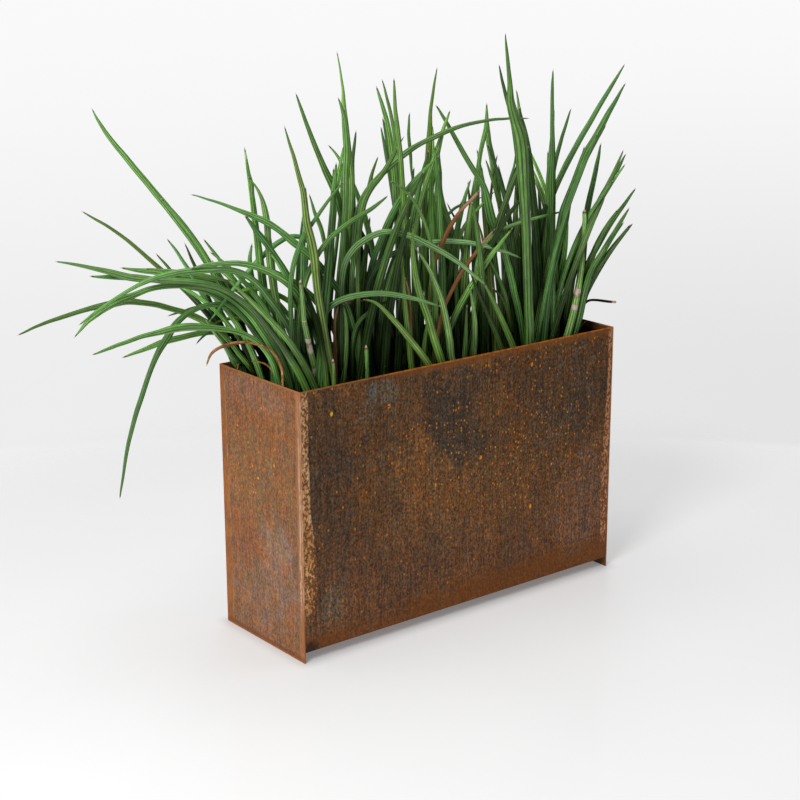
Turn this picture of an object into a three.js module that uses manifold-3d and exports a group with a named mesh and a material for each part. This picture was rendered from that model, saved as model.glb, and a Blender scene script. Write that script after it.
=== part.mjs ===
// A free-standing trough planter in weathering steel with a lift-out planted liner.
// Millimetres, +Z up. Origin: centre of the footprint, on the ground.
// +X runs along the length (right), -Y is the front.
import * as THREE from 'three';
import { mergeVertices } from 'three/addons/utils/BufferGeometryUtils.js';
import Module from 'manifold-3d';

// ---------------------------------------------------------------- dimensions
// Steel trough
const LENGTH = 900;           // outside, along X
const WIDTH = 300;            // outside, along Y
const HEIGHT = 600;           // rim above ground
const SHEET = 3;              // steel thickness
const FLOOR_GAP = 22;         // underside of the floor above ground
const BEND_OUT = 6;           // outside radius of the two folds
const BEND_IN = BEND_OUT - SHEET;
const BEND_STEPS = 4;
const HALF_LENGTH = LENGTH / 2;
const HALF_WIDTH = WIDTH / 2;
const END_FACE = HALF_LENGTH - SHEET;   // inside face of the end plates
const SIDE_FACE = HALF_WIDTH - SHEET;   // inside face of front and back
const FLOOR_TOP = FLOOR_GAP + SHEET;

// Drainage holes, at the same X in the floor and the liner
const HOLE_PITCH = 220;
const HOLE_X = [-1.5, -0.5, 0.5, 1.5].map((step) => step * HOLE_PITCH);
const FLOOR_HOLE_D = 14;
const LINER_HOLE_D = 12;
const LINER_HOLE_Y = [-70, 70];

// Inside fillet welds
const WELD_LEG = 4;
const CORNER_WELD_STOP = 6;   // corner welds end this far below the rim
const CORNER_WELD_STEPS = [0.33, 0.67];   // where the hollow face is bent, along its chord
const CORNER_WELD_HOLLOW = 0.78;          // face drawn in to this share of the chord distance
const FLOOR_WELD_HOLLOW = 0.4;            // mid-face distance from each leg, share of the leg
const FLOOR_WELD_STOP = 4;    // floor welds end this far short of the folds

// Channel under mid-span
const BEARER_WIDTH = 40;
const BEARER_LENGTH = 180;

// Angles that carry the liner
const LEDGE_LEG = 26;
const LEDGE_LENGTH = 250;
const LEDGE_TOP = 297;
const BAR_LEG = 28;           // cross bar at mid-span

// Liner
const CLEAR = 0.4;            // between loose neighbours
const LINER_CLEAR = 3;        // liner rim to steel
const LINER_WALL = 3;
const LINER_LIP = 3;          // rim stands out from the wall
const LINER_LIP_H = 7;
const LINER_BOTTOM = LEDGE_TOP + 0.3;
const LINER_FLOOR = LINER_BOTTOM + LINER_WALL;
const LINER_TOP = 586;
const LINER_CORNER = 26;
const LINER_OUT_X = END_FACE - LINER_CLEAR - LINER_LIP;    // outside of the liner wall
const LINER_OUT_Y = SIDE_FACE - LINER_CLEAR - LINER_LIP;
const LINER_IN_X = LINER_OUT_X - LINER_WALL;               // inside of the liner wall
const LINER_IN_Y = LINER_OUT_Y - LINER_WALL;

// Webbing lift handles and their rivets
const HANDLE_W = 26;
const HANDLE_T = 2.4;
const HANDLE_SPAN = 90;       // between the two rivets
const HANDLE_Z = 532;
const HANDLE_RISE = 34;       // rivets to the top of the band's centre line
const HANDLE_STEPS = 14;
const HANDLE_OUT_X = LINER_IN_X - CLEAR;         // face towards the liner wall
const HANDLE_IN_X = HANDLE_OUT_X - HANDLE_T;     // face towards the plants
const RIVET_SHANK_D = 6;
const RIVET_HOLE_D = RIVET_SHANK_D + 2 * CLEAR;
const RIVET_HEAD_D = 13;
const RIVET_HEAD_T = 2.2;
const RIVET_TAIL_D = RIVET_HEAD_D - 2;
const RIVET_TAIL_T = 1.4;
const RIVET_OVERLAP = 0.5;    // shank runs this far into head and tail

// Fill
const FILL_INSET = CLEAR + 0.2;                  // fill to liner wall
const FILL_CORNER = LINER_CORNER - LINER_WALL - FILL_INSET + 0.5;
const FILL_CORNER_STEPS = 4;
const PEBBLE_TOP = 356;
const FABRIC_T = 2;
const FABRIC_BOTTOM = PEBBLE_TOP + CLEAR;
const FABRIC_TOP = FABRIC_BOTTOM + FABRIC_T;
const SOIL_TOP = 500;

// Plants
const CROWN_H = 11;           // rhizome crown standing on the soil
const CROWN_CHAMFER = 9;
const LEAF_SIDES = 5;

// How far each cutter runs past the faces it cuts
const HOLE_OVERCUT = 2;
const WALL_OVERCUT = 3;
const CAVITY_OVERCUT = 5;

const ENDS = [[-1, 'left'], [1, 'right']];       // sign of X
const SIDES = [[-1, 'front'], [1, 'back']];      // sign of Y

// ---------------------------------------------------------------- materials
const finishes = {
  rust: { color: 0x6a4636, roughness: 0.78, metalness: 0.25 },
  rustEnd: { color: 0x8a6150, roughness: 0.8, metalness: 0.2 },
  weld: { color: 0x9a7455, roughness: 0.7, metalness: 0.35 },
  blackPlastic: { color: 0x141414, roughness: 0.5, metalness: 0 },
  webbing: { color: 0x1b1b1c, roughness: 0.9, metalness: 0 },
  rivetSteel: { color: 0x9a9a98, roughness: 0.35, metalness: 0.9 },
  pebbles: { color: 0x8a5a3c, roughness: 0.9, metalness: 0 },
  fleece: { color: 0x8f9290, roughness: 0.95, metalness: 0 },
  soil: { color: 0x2b211a, roughness: 0.95, metalness: 0 },
  leafGreen: { color: 0x6d9560, roughness: 0.5, metalness: 0 },
};

// ---------------------------------------------------------------- helpers
const wasm = await Module();
wasm.setup();

// Only welded positions go to Manifold, so that the surface is closed
function solid(source) {
  const bare = source.clone();
  for (const name of Object.keys(bare.attributes)) {
    if (name !== 'position') bare.deleteAttribute(name);
  }
  const welded = mergeVertices(bare, 1e-4);
  return new wasm.Manifold(new wasm.Mesh({
    numProp: 3,
    vertProperties: new Float32Array(welded.attributes.position.array),
    triVerts: new Uint32Array(welded.index.array),
  }));
}

function geometryOf(manifold) {
  const mesh = manifold.getMesh();
  const geometry = new THREE.BufferGeometry();
  const positions = new Float32Array(mesh.vertProperties);
  geometry.setAttribute('position', new THREE.BufferAttribute(positions, 3));
  geometry.setIndex(new THREE.BufferAttribute(new Uint32Array(mesh.triVerts), 1));
  return geometry;
}

const cut = (body, ...tools) => tools.reduce((rest, tool) => rest.subtract(tool), body);
const join = (body, ...parts) => parts.reduce((sum, part) => sum.add(part), body);

function box(x0, x1, y0, y1, z0, z1) {
  const geometry = new THREE.BoxGeometry(x1 - x0, y1 - y0, z1 - z0);
  geometry.translate((x0 + x1) / 2, (y0 + y1) / 2, (z0 + z1) / 2);
  return geometry;
}

// Upright cylinder
function post(x, y, z0, z1, diameter, segments) {
  const geometry = new THREE.CylinderGeometry(diameter / 2, diameter / 2, z1 - z0, segments);
  geometry.rotateX(Math.PI / 2);
  geometry.translate(x, y, (z0 + z1) / 2);
  return geometry;
}

// Cylinder along X at handle height; its ends may come in either order
function handlePin(x0, x1, y, diameter, segments) {
  const radius = diameter / 2;
  const geometry = new THREE.CylinderGeometry(radius, radius, Math.abs(x1 - x0), segments);
  geometry.rotateZ(Math.PI / 2);
  geometry.translate((x0 + x1) / 2, y, HANDLE_Z);
  return geometry;
}

function extrude(outline, depth) {
  const shape = new THREE.Shape(outline.map(([u, v]) => new THREE.Vector2(u, v)));
  return new THREE.ExtrudeGeometry(shape, { depth, bevelEnabled: false, steps: 1 });
}

// A closed [y, z] outline pushed along X
function alongX(outline, x0, x1) {
  const geometry = extrude(outline, x1 - x0);
  geometry.applyMatrix4(new THREE.Matrix4().makeBasis(
    new THREE.Vector3(0, 1, 0), new THREE.Vector3(0, 0, 1), new THREE.Vector3(1, 0, 0)));
  geometry.translate(x0, 0, 0);
  return geometry;
}

// A closed [x, z] outline pushed along Y; X is negated twice to keep the basis right-handed
function alongY(outline, y0, y1) {
  const geometry = extrude(outline.map(([x, z]) => [-x, z]), y1 - y0);
  geometry.applyMatrix4(new THREE.Matrix4().makeBasis(
    new THREE.Vector3(-1, 0, 0), new THREE.Vector3(0, 0, 1), new THREE.Vector3(0, 1, 0)));
  geometry.translate(0, y0, 0);
  return geometry;
}

// A closed [x, y] outline pushed along Z
function alongZ(outline, z0, z1) {
  const geometry = extrude(outline, z1 - z0);
  geometry.translate(0, 0, z0);
  return geometry;
}

// Points on an arc; angles in degrees
function arc(centreU, centreV, radius, from, to, steps) {
  return Array.from({ length: steps + 1 }, (_, i) => {
    const angle = (from + (to - from) * i / steps) * Math.PI / 180;
    return [centreU + radius * Math.cos(angle), centreV + radius * Math.sin(angle)];
  });
}

function roundedRect(halfX, halfY, radius, steps = 5) {
  const x = halfX - radius;
  const y = halfY - radius;
  return [
    ...arc(x, y, radius, 0, 90, steps),
    ...arc(-x, y, radius, 90, 180, steps),
    ...arc(-x, -y, radius, 180, 270, steps),
    ...arc(x, -y, radius, 270, 360, steps),
  ];
}

const group = new THREE.Group();
const planter = new THREE.Group();
const insert = new THREE.Group();
group.add(planter, insert);

function piece(parent, name, geometry, finish) {
  geometry.computeVertexNormals();
  const mesh = new THREE.Mesh(geometry, new THREE.MeshStandardMaterial(finish));
  mesh.name = name;
  parent.add(mesh);
}

// ---------------------------------------------------------------- steel trough
// Front, floor and back folded from one sheet
function addTroughSheet() {
  const bendY = HALF_WIDTH - BEND_OUT;
  const bendZ = FLOOR_GAP + BEND_OUT;
  const outline = [
    [-HALF_WIDTH, HEIGHT],
    ...arc(-bendY, bendZ, BEND_OUT, 180, 270, BEND_STEPS),
    ...arc(bendY, bendZ, BEND_OUT, 270, 360, BEND_STEPS),
    [HALF_WIDTH, HEIGHT],
    [SIDE_FACE, HEIGHT],
    ...arc(bendY, bendZ, BEND_IN, 360, 270, BEND_STEPS),
    ...arc(-bendY, bendZ, BEND_IN, 270, 180, BEND_STEPS),
    [-SIDE_FACE, HEIGHT],
  ];
  const holes = HOLE_X.map((x) => solid(
    post(x, 0, FLOOR_GAP - HOLE_OVERCUT, FLOOR_TOP + HOLE_OVERCUT, FLOOR_HOLE_D, 16)));
  const sheet = cut(solid(alongX(outline, -END_FACE, END_FACE)), ...holes);
  piece(planter, 'trough_sheet', geometryOf(sheet), finishes.rust);
}

function addEndPlates() {
  const left = box(-HALF_LENGTH, -END_FACE, -HALF_WIDTH, HALF_WIDTH, 0, HEIGHT);
  const right = box(END_FACE, HALF_LENGTH, -HALF_WIDTH, HALF_WIDTH, 0, HEIGHT);
  piece(planter, 'left_end_plate', left, finishes.rustEnd);
  piece(planter, 'right_end_plate', right, finishes.rustEnd);
}

// Hollow-faced fillets up the four inside corners
function addCornerWelds() {
  for (const [signY, sideName] of SIDES) for (const [signX, endName] of ENDS) {
    // A point given by its distances from the two plates
    const inward = (dx, dy) => [signX * (END_FACE - dx), signY * (SIDE_FACE - dy)];
    const reach = WELD_LEG * CORNER_WELD_HOLLOW;
    const outline = [
      inward(0, 0),
      inward(WELD_LEG, 0),
      ...CORNER_WELD_STEPS.map((t) => inward(reach * (1 - t), reach * t)),
      inward(0, WELD_LEG),
    ];
    const weld = alongZ(outline, FLOOR_GAP + BEND_OUT + WELD_LEG, HEIGHT - CORNER_WELD_STOP);
    piece(planter, `corner_weld_${sideName}_${endName}`, weld, finishes.weld);
  }
}

// Fillets between the floor and the end plates
function addFloorWelds() {
  const halfLength = HALF_WIDTH - BEND_OUT - FLOOR_WELD_STOP;
  const hollow = WELD_LEG * FLOOR_WELD_HOLLOW;
  for (const [sign, name] of ENDS) {
    const outline = [
      [sign * END_FACE, FLOOR_TOP],
      [sign * END_FACE, FLOOR_TOP + WELD_LEG],
      [sign * (END_FACE - hollow), FLOOR_TOP + hollow],
      [sign * (END_FACE - WELD_LEG), FLOOR_TOP],
    ];
    piece(planter, `floor_weld_${name}`, alongY(outline, -halfLength, halfLength), finishes.weld);
  }
}

// Channel on the ground under mid-span, open side up
function addFloorBearer() {
  const half = BEARER_WIDTH / 2;
  const outline = [
    [-half, 0], [half, 0], [half, FLOOR_GAP], [half - SHEET, FLOOR_GAP],
    [half - SHEET, SHEET], [-half + SHEET, SHEET], [-half + SHEET, FLOOR_GAP], [-half, FLOOR_GAP],
  ];
  const bearer = alongY(outline, -BEARER_LENGTH / 2, BEARER_LENGTH / 2);
  piece(planter, 'floor_bearer', bearer, finishes.rust);
}

// Angles on the end plates, under the liner
function addLinerLedges() {
  for (const [sign, name] of ENDS) {
    const inward = (distance) => sign * (END_FACE - distance);
    const outline = [
      [inward(0), LEDGE_TOP],
      [inward(LEDGE_LEG), LEDGE_TOP],
      [inward(LEDGE_LEG), LEDGE_TOP - SHEET],
      [inward(SHEET), LEDGE_TOP - SHEET],
      [inward(SHEET), LEDGE_TOP - LEDGE_LEG],
      [inward(0), LEDGE_TOP - LEDGE_LEG],
    ];
    const ledge = alongY(outline, -LEDGE_LENGTH / 2, LEDGE_LENGTH / 2);
    piece(planter, `liner_ledge_${name}`, ledge, finishes.rust);
  }
}

// Angle from front to back under the middle of the liner
function addCrossBar() {
  const half = BAR_LEG / 2;
  const outline = [
    [-half, LEDGE_TOP],
    [half, LEDGE_TOP],
    [half, LEDGE_TOP - SHEET],
    [-half + SHEET, LEDGE_TOP - SHEET],
    [-half + SHEET, LEDGE_TOP - BAR_LEG],
    [-half, LEDGE_TOP - BAR_LEG],
  ];
  piece(planter, 'liner_cross_bar', alongY(outline, -SIDE_FACE, SIDE_FACE), finishes.rust);
}

// ---------------------------------------------------------------- liner
function addLinerTub() {
  const body = roundedRect(LINER_OUT_X, LINER_OUT_Y, LINER_CORNER);
  const lip = roundedRect(
    LINER_OUT_X + LINER_LIP, LINER_OUT_Y + LINER_LIP, LINER_CORNER + LINER_LIP);
  const cavity = roundedRect(LINER_IN_X, LINER_IN_Y, LINER_CORNER - LINER_WALL);
  let tub = join(solid(alongZ(body, LINER_BOTTOM, LINER_TOP)),
    solid(alongZ(lip, LINER_TOP - LINER_LIP_H, LINER_TOP)));
  tub = cut(tub, solid(alongZ(cavity, LINER_FLOOR, LINER_TOP + CAVITY_OVERCUT)));
  for (const x of HOLE_X) for (const y of LINER_HOLE_Y) {
    tub = cut(tub, solid(
      post(x, y, LINER_BOTTOM - HOLE_OVERCUT, LINER_FLOOR + HOLE_OVERCUT, LINER_HOLE_D, 12)));
  }
  for (const [sign] of ENDS) {
    tub = cut(tub, ...rivetHoles(sign, LINER_IN_X, LINER_OUT_X, WALL_OVERCUT));
  }
  piece(insert, 'liner_tub', geometryOf(tub), finishes.blackPlastic);
}

// Cutters for the two rivet holes at one end, through the faces at innerX and outerX
function rivetHoles(sign, innerX, outerX, overcut) {
  return SIDES.map(([signY]) => solid(handlePin(sign * (innerX - overcut),
    sign * (outerX + overcut), signY * HANDLE_SPAN / 2, RIVET_HOLE_D, 14)));
}

// Flat webbing arch against the inside of an end wall
function addLiftHandle(sign, name) {
  const span = HANDLE_SPAN / 2;
  const half = HANDLE_W / 2;
  const foot = HANDLE_Z - half;
  // Half ellipse, offset from the band's centre line
  const arch = (offset) => Array.from({ length: HANDLE_STEPS + 1 }, (_, i) => {
    const angle = Math.PI * i / HANDLE_STEPS;
    return [(span + offset) * Math.cos(angle),
      HANDLE_Z + (HANDLE_RISE + offset) * Math.sin(angle)];
  });
  const outline = [
    [span + half, foot], ...arch(half), [-span - half, foot],
    [-span + half, foot], ...arch(-half).reverse(), [span - half, foot],
  ];
  const faces = [sign * HANDLE_IN_X, sign * HANDLE_OUT_X].sort((a, b) => a - b);
  const handle = cut(solid(alongX(outline, ...faces)),
    ...rivetHoles(sign, HANDLE_IN_X, HANDLE_OUT_X, HOLE_OVERCUT));
  piece(insert, `lift_handle_${name}`, geometryOf(handle), finishes.webbing);
}

// Shank through wall and webbing, flat round head inside, smaller flat tail outside
function addHandleRivet(sign, signY, name) {
  const headX = HANDLE_IN_X - CLEAR;
  const tailX = LINER_OUT_X + CLEAR;
  const pin = (innerX, outerX, diameter, segments) => solid(handlePin(
    sign * innerX, sign * outerX, signY * HANDLE_SPAN / 2, diameter, segments));
  const rivet = join(
    pin(headX - RIVET_OVERLAP, tailX + RIVET_OVERLAP, RIVET_SHANK_D, 12),
    pin(headX - RIVET_HEAD_T, headX, RIVET_HEAD_D, 16),
    pin(tailX, tailX + RIVET_TAIL_T, RIVET_TAIL_D, 16));
  piece(insert, `handle_rivet_${name}`, geometryOf(rivet), finishes.rivetSteel);
}

function addHandles() {
  for (const [sign, endName] of ENDS) {
    addLiftHandle(sign, endName);
    for (const [signY, sideName] of SIDES) {
      addHandleRivet(sign, signY, `${endName}_${sideName}`);
    }
  }
}

// Clay pebbles, filter fabric and potting soil, from the bottom up
function addFill() {
  const outline = roundedRect(
    LINER_IN_X - FILL_INSET, LINER_IN_Y - FILL_INSET, FILL_CORNER, FILL_CORNER_STEPS);
  const layer = (name, z0, z1, finish) => piece(insert, name, alongZ(outline, z0, z1), finish);
  layer('clay_pebble_layer', LINER_FLOOR + CLEAR, PEBBLE_TOP, finishes.pebbles);
  layer('filter_fabric', FABRIC_BOTTOM, FABRIC_TOP, finishes.fleece);
  layer('potting_soil', FABRIC_TOP + CLEAR, SOIL_TOP, finishes.soil);
}

// ---------------------------------------------------------------- plants
// cell: the crown's [x0, x1, y0, y1] on the soil.
// leaves: one centre line per leaf, from crown to tip; each point is [x, y, z, radius].
const CLUMPS = [
  { name: 'plant_front_far_left', cell: [-421, -217, -127, -1], leaves: [
  [[-392,-44,504,6.6],[-396,-44,579,6.4],[-414,-44,641,6.2],[-465,-43,735,6.1],
   [-505,-42,778,6.1],[-551,-41,811,6.0],[-597,-40,830,5.9],[-653,-39,843,5.8],
   [-752,-36,865,5.4],[-836,-34,889,4.2],[-917,-31,912,0.9]],
  [[-230,-84,504,7.4],[-244,-84,577,6.9],[-261,-88,680,6.9],[-279,-92,733,6.8],
   [-329,-98,811,6.7],[-417,-108,898,6.4],[-484,-116,946,6.0],[-600,-129,1000,4.2],
   [-683,-139,1028,0.9]],
  [[-358,-50,504,7.8],[-355,-49,565,7.6],[-362,-50,617,7.4],[-386,-53,671,7.3],
   [-418,-58,730,7.2],[-458,-64,781,7.1],[-492,-69,820,7.0],[-528,-74,846,6.9],
   [-574,-80,861,6.8],[-636,-88,869,6.7],[-698,-96,872,6.4],[-747,-104,869,6.1],
   [-856,-123,841,4.2],[-929,-139,813,0.9]],
  [[-370,-12,504,7.8],[-381,-12,579,7.6],[-407,-12,638,7.3],[-436,-13,686,7.3],
   [-471,-15,737,7.2],[-512,-17,779,7.1],[-560,-19,809,7.0],[-605,-20,823,6.8],
   [-665,-23,829,6.6],[-728,-26,826,6.2],[-792,-30,813,5.3],[-850,-33,792,3.4],
   [-891,-37,764,0.9]],
  [[-402,-25,504,6.7],[-407,-24,555,6.5],[-434,-30,642,6.2],[-463,-37,680,6.2],
   [-502,-46,709,6.1],[-552,-57,731,6.0],[-662,-84,757,5.7],[-770,-116,767,5.0],
   [-824,-134,765,4.1],[-925,-171,761,0.9]],
  [[-379,-34,504,6.7],[-385,-34,585,6.3],[-408,-35,692,6.2],[-431,-36,812,6.0],
   [-441,-37,905,5.3],[-449,-38,980,3.4],[-463,-38,1008,1.8],[-479,-38,1026,0.9]],
  [[-320,-27,504,6.8],[-307,-27,580,6.4],[-332,-30,658,6.3],[-361,-37,739,6.1],
   [-409,-48,837,5.4],[-455,-57,895,4.2],[-514,-68,963,0.9]],
  [[-294,-42,504,9.0],[-295,-41,541,8.7],[-308,-44,619,8.4],[-337,-50,695,8.2],
   [-371,-57,759,7.9],[-402,-63,800,7.6],[-440,-68,827,7.2],[-526,-79,866,5.9],
   [-577,-86,876,4.6],[-666,-99,877,0.9]],
  [[-360,-103,504,8.0],[-367,-102,559,7.8],[-385,-103,604,7.5],[-410,-109,650,7.3],
   [-478,-126,731,6.4],[-564,-152,810,4.1],[-630,-174,866,0.9]],
  [[-379,-98,504,8.1],[-384,-98,554,7.8],[-417,-100,630,7.2],[-478,-108,715,5.4],
   [-548,-120,802,0.9]],
  [[-342,-71,504,7.4],[-347,-71,584,7.0],[-360,-76,628,6.6],[-399,-98,730,5.0],
   [-425,-126,827,4.2]],
  [[-304,-68,504,9.5],[-305,-68,580,9.0],[-323,-69,664,8.9],[-346,-72,786,8.6],
   [-360,-75,893,8.1],[-374,-77,946,7.6],[-397,-81,1045,5.5],[-426,-85,1133,0.9]],
  [[-274,-35,504,7.4],[-274,-35,567,7.0],[-274,-38,650,6.9],[-274,-42,727,6.9],
   [-265,-51,846,6.8],[-261,-61,963,6.4],[-265,-67,1027,5.9],[-273,-77,1120,3.8],
   [-292,-83,1178,0.9]],
  [[-308,-11,504,6.8],[-283,-11,568,6.5],[-281,-14,646,6.4],[-277,-18,723,6.3],
   [-279,-25,822,6.1],[-277,-33,919,5.3],[-272,-45,1039,0.9]],
  [[-398,-78,504,6.1],[-400,-78,559,5.9],[-405,-78,608,5.7],[-420,-83,735,5.6],
   [-422,-89,837,5.4],[-395,-95,906,5.1],[-348,-101,963,3.9],[-299,-108,1012,0.9]],
  [[-365,-68,504,6.1],[-396,-68,611,5.7],[-399,-71,677,5.7],[-395,-76,741,5.6],
   [-379,-84,822,5.5],[-343,-92,881,5.3],[-327,-95,896,5.2],[-281,-102,927,4.5],
   [-192,-115,970,0.9]],
  [[-336,-112,504,4.0],[-339,-118,592,3.8],[-349,-128,650,3.7]],
  [[-290,-61,504,3.9],[-292,-61,592,3.7],[-298,-70,732,2.6],[-290,-72,748,1.9],
   [-278,-74,753,1.3],[-261,-75,747,0.9]],
  [[-302,-89,504,7.7],[-298,-89,583,7.2],[-290,-94,653,5.8],[-291,-99,697,4.1],
   [-305,-106,758,0.9]],
  [[-237,-103,504,4.7],[-241,-103,589,4.5],[-249,-111,660,4.4]],
  [[-239,-70,504,5.1],[-237,-70,568,4.9],[-237,-70,683,4.8],[-240,-73,771,4.7],
   [-242,-76,847,4.7],[-232,-81,937,4.6],[-221,-83,966,4.5],[-205,-85,990,4.3],
   [-131,-94,1086,0.9]],
  [[-235,-41,504,5.9],[-235,-41,611,5.6],[-234,-42,700,5.6],[-235,-45,787,5.5],
   [-230,-47,852,5.5],[-213,-50,931,5.5],[-186,-53,976,5.5],[-142,-55,1018,5.5],
   [-111,-57,1036,5.5],[-48,-60,1063,5.5],[19,-63,1082,5.3],[118,-67,1097,4.5],
   [239,-72,1094,0.9]],
  [[-312,-112,504,6.9],[-313,-112,558,6.7],[-318,-116,683,6.4],[-320,-125,812,6.3],
   [-316,-127,841,6.3],[-307,-129,861,6.3],[-293,-131,875,6.3],[-255,-135,896,6.3],
   [-230,-137,902,6.3],[-179,-142,896,6.2],[-149,-145,884,6.1],[-57,-155,832,5.1],
   [38,-168,756,0.9]],
  [[-332,-89,504,6.8],[-357,-89,602,6.5],[-364,-97,661,6.4],[-368,-108,711,6.3],
   [-366,-116,739,6.2],[-355,-123,758,6.2],[-342,-129,769,6.1],[-304,-143,780,6.0],
   [-258,-161,781,5.6],[-193,-190,769,4.1],[-135,-220,746,0.9]],
  [[-244,-51,504,5.6],[-242,-51,588,5.3],[-251,-71,681,4.8],[-244,-80,706,4.5],
   [-200,-106,743,2.7],[-167,-123,750,0.9]],
  ] },
  { name: 'plant_front_left', cell: [-215, -1, -127, -1], leaves: [
  [[-196,-15,504,8.1],[-207,-15,558,7.6],[-216,-14,703,7.5],[-220,-13,769,7.5],
   [-228,-12,878,7.3],[-235,-12,922,7.2],[-266,-11,1012,6.7],[-307,-9,1104,4.9],
   [-343,-8,1183,0.9]],
  [[-81,-35,504,5.8],[-85,-35,564,5.4],[-103,-34,665,0.9]],
  [[-106,-107,504,6.7],[-123,-107,590,6.3],[-135,-111,653,6.1],[-155,-124,746,5.1],
   [-179,-144,860,0.9]],
  [[-44,-112,504,7.5],[-59,-115,557,7.2],[-148,-127,663,6.1],[-201,-137,718,4.6],
   [-242,-144,754,2.7],[-260,-148,765,1.7],[-287,-152,771,0.9]],
  [[-68,-77,504,6.1],[-66,-78,595,5.5],[-68,-84,637,4.3],[-63,-100,707,0.9]],
  [[-22,-112,504,9.0],[-29,-111,552,8.7],[-44,-112,593,8.5],[-77,-120,663,8.1],
   [-143,-147,792,6.3],[-170,-169,873,3.4],[-180,-184,920,0.9]],
  [[-34,-80,504,7.9],[-27,-79,552,7.6],[-15,-80,594,7.4],[11,-93,683,7.1],[52,-115,764,6.2],
   [122,-156,874,0.9]],
  [[-48,-61,504,5.5],[-43,-59,580,5.4],[-34,-61,718,5.2],[-35,-69,782,5.1],[-29,-75,818,5.0],
   [0,-94,889,4.3],[14,-101,911,3.8],[57,-122,959,3.1]],
  [[-51,-93,504,4.6],[-48,-92,573,4.5],[-30,-94,689,4.3],[-14,-95,721,4.3],[31,-99,785,4.0],
   [116,-105,865,0.9]],
  [[-47,-13,504,6.2],[-48,-12,570,6.0],[-54,-13,690,5.9],[-63,-16,782,5.8],[-75,-22,862,5.7],
   [-97,-32,985,5.5],[-114,-43,1084,4.9],[-124,-47,1120,4.3],[-159,-57,1206,0.9]],
  [[-84,-67,504,6.5],[-90,-65,628,6.3],[-95,-67,683,6.1],[-106,-74,786,6.0],
   [-132,-93,932,5.9],[-153,-111,1042,5.5],[-175,-127,1128,4.4],[-197,-146,1216,0.9]],
  [[-63,-53,504,5.4],[-64,-53,583,5.2],[-67,-53,654,5.1],[-72,-52,744,5.0],[-71,-51,843,5.0],
   [-51,-50,939,4.9],[5,-48,1059,3.8],[34,-47,1126,0.9]],
  [[-163,-34,504,7.2],[-172,-33,559,7.0],[-191,-34,658,6.8],[-192,-45,771,6.7],
   [-187,-53,821,6.6],[-161,-68,896,6.2],[-136,-81,950,5.6],[-105,-93,991,4.3],
   [-55,-111,1039,0.9]],
  [[-52,-79,504,5.6],[-38,-78,583,5.4],[-29,-79,653,5.3],[-38,-86,723,5.2],
   [-67,-108,840,5.0],[-84,-117,881,4.8],[-140,-137,958,3.6],[-180,-148,989,2.2],
   [-218,-157,1009,0.9]],
  [[-104,-79,504,3.1],[-101,-78,614,3.1],[-106,-82,721,2.6],[-126,-88,786,1.8]],
  [[-153,-13,504,5.8],[-150,-13,611,5.6],[-140,-12,736,5.3],[-129,-12,778,5.2],
   [-100,-11,845,4.6],[-48,-9,934,0.9]],
  [[-190,-63,504,5.9],[-198,-63,562,5.7],[-213,-63,667,5.6],[-213,-64,733,5.5],
   [-207,-65,778,5.5],[-194,-65,805,5.5],[-176,-66,822,5.5],[-149,-67,834,5.5],
   [-87,-68,846,5.5],[14,-70,845,5.3],[117,-73,821,4.3],[220,-76,781,0.9]],
  ] },
  { name: 'plant_front_right', cell: [1, 215, -127, -1], leaves: [
  [[35,-98,504,8.4],[19,-97,549,8.1],[-2,-98,587,7.9],[-22,-109,657,7.4],[-39,-118,700,6.9],
   [-59,-128,738,6.2],[-108,-150,809,4.0],[-165,-173,867,0.9]],
  [[40,-75,504,4.9],[35,-77,608,4.0],[19,-88,688,0.9]],
  [[18,-112,504,5.9],[19,-119,630,4.7],[15,-129,712,0.9]],
  [[61,-100,504,7.2],[60,-100,588,6.8],[59,-105,633,6.0],[36,-123,719,2.7],[17,-132,756,0.9]],
  [[71,-31,504,5.0],[70,-32,622,4.9],[67,-29,755,4.6],[75,-26,822,4.5],[88,-25,856,4.2],
   [109,-23,876,3.9],[189,-18,929,0.9]],
  [[102,-56,504,5.0],[99,-56,614,4.9],[100,-56,744,4.7],[105,-57,784,4.7],[116,-57,810,4.6],
   [134,-57,828,4.6],[181,-58,850,4.5],[250,-59,860,4.0],[370,-60,870,0.9]],
  [[163,-102,504,7.2],[157,-101,551,7.0],[141,-102,588,6.8],[92,-114,666,5.7],
   [51,-128,726,3.9],[8,-146,789,0.9]],
  [[193,-105,504,7.4],[187,-104,554,7.1],[152,-108,628,6.4],[104,-121,697,4.6],
   [45,-140,774,0.9]],
  [[202,-62,504,5.9],[203,-62,595,5.5],[198,-65,639,5.3],[171,-75,712,4.5],[104,-92,805,0.9]],
  [[202,-74,504,4.0],[205,-74,587,3.8],[191,-76,630,3.6],[163,-81,693,2.4],[142,-84,717,2.3],
   [125,-85,728,2.3]],
  ] },
  { name: 'plant_front_far_right', cell: [217, 421, -127, -1], leaves: [
  [[272,-36,504,8.7],[266,-36,572,8.2],[254,-36,636,8.1],[221,-35,752,8.0],[175,-35,868,7.7],
   [103,-34,999,6.6],[49,-34,1076,4.5],[3,-34,1138,0.9]],
  [[235,-112,504,12.0],[216,-114,593,11.4],[210,-117,658,11.3],[199,-124,730,11.1],
   [172,-143,872,10.8],[139,-164,999,10.1],[97,-185,1112,8.6],[64,-204,1199,6.2],
   [30,-228,1298,0.9]],
  [[319,-12,504,7.5],[315,-12,575,7.1],[318,-10,659,7.0],[324,-8,729,7.0],[324,-3,870,6.8],
   [312,3,1010,5.9],[301,6,1070,4.7],[278,10,1148,0.9]],
  [[301,-62,504,6.2],[302,-62,577,5.8],[307,-64,670,5.8],[310,-68,752,5.8],[312,-72,823,5.7],
   [311,-77,893,5.7],[307,-84,985,5.5],[293,-94,1111,4.4],[284,-102,1200,0.9]],
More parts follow.
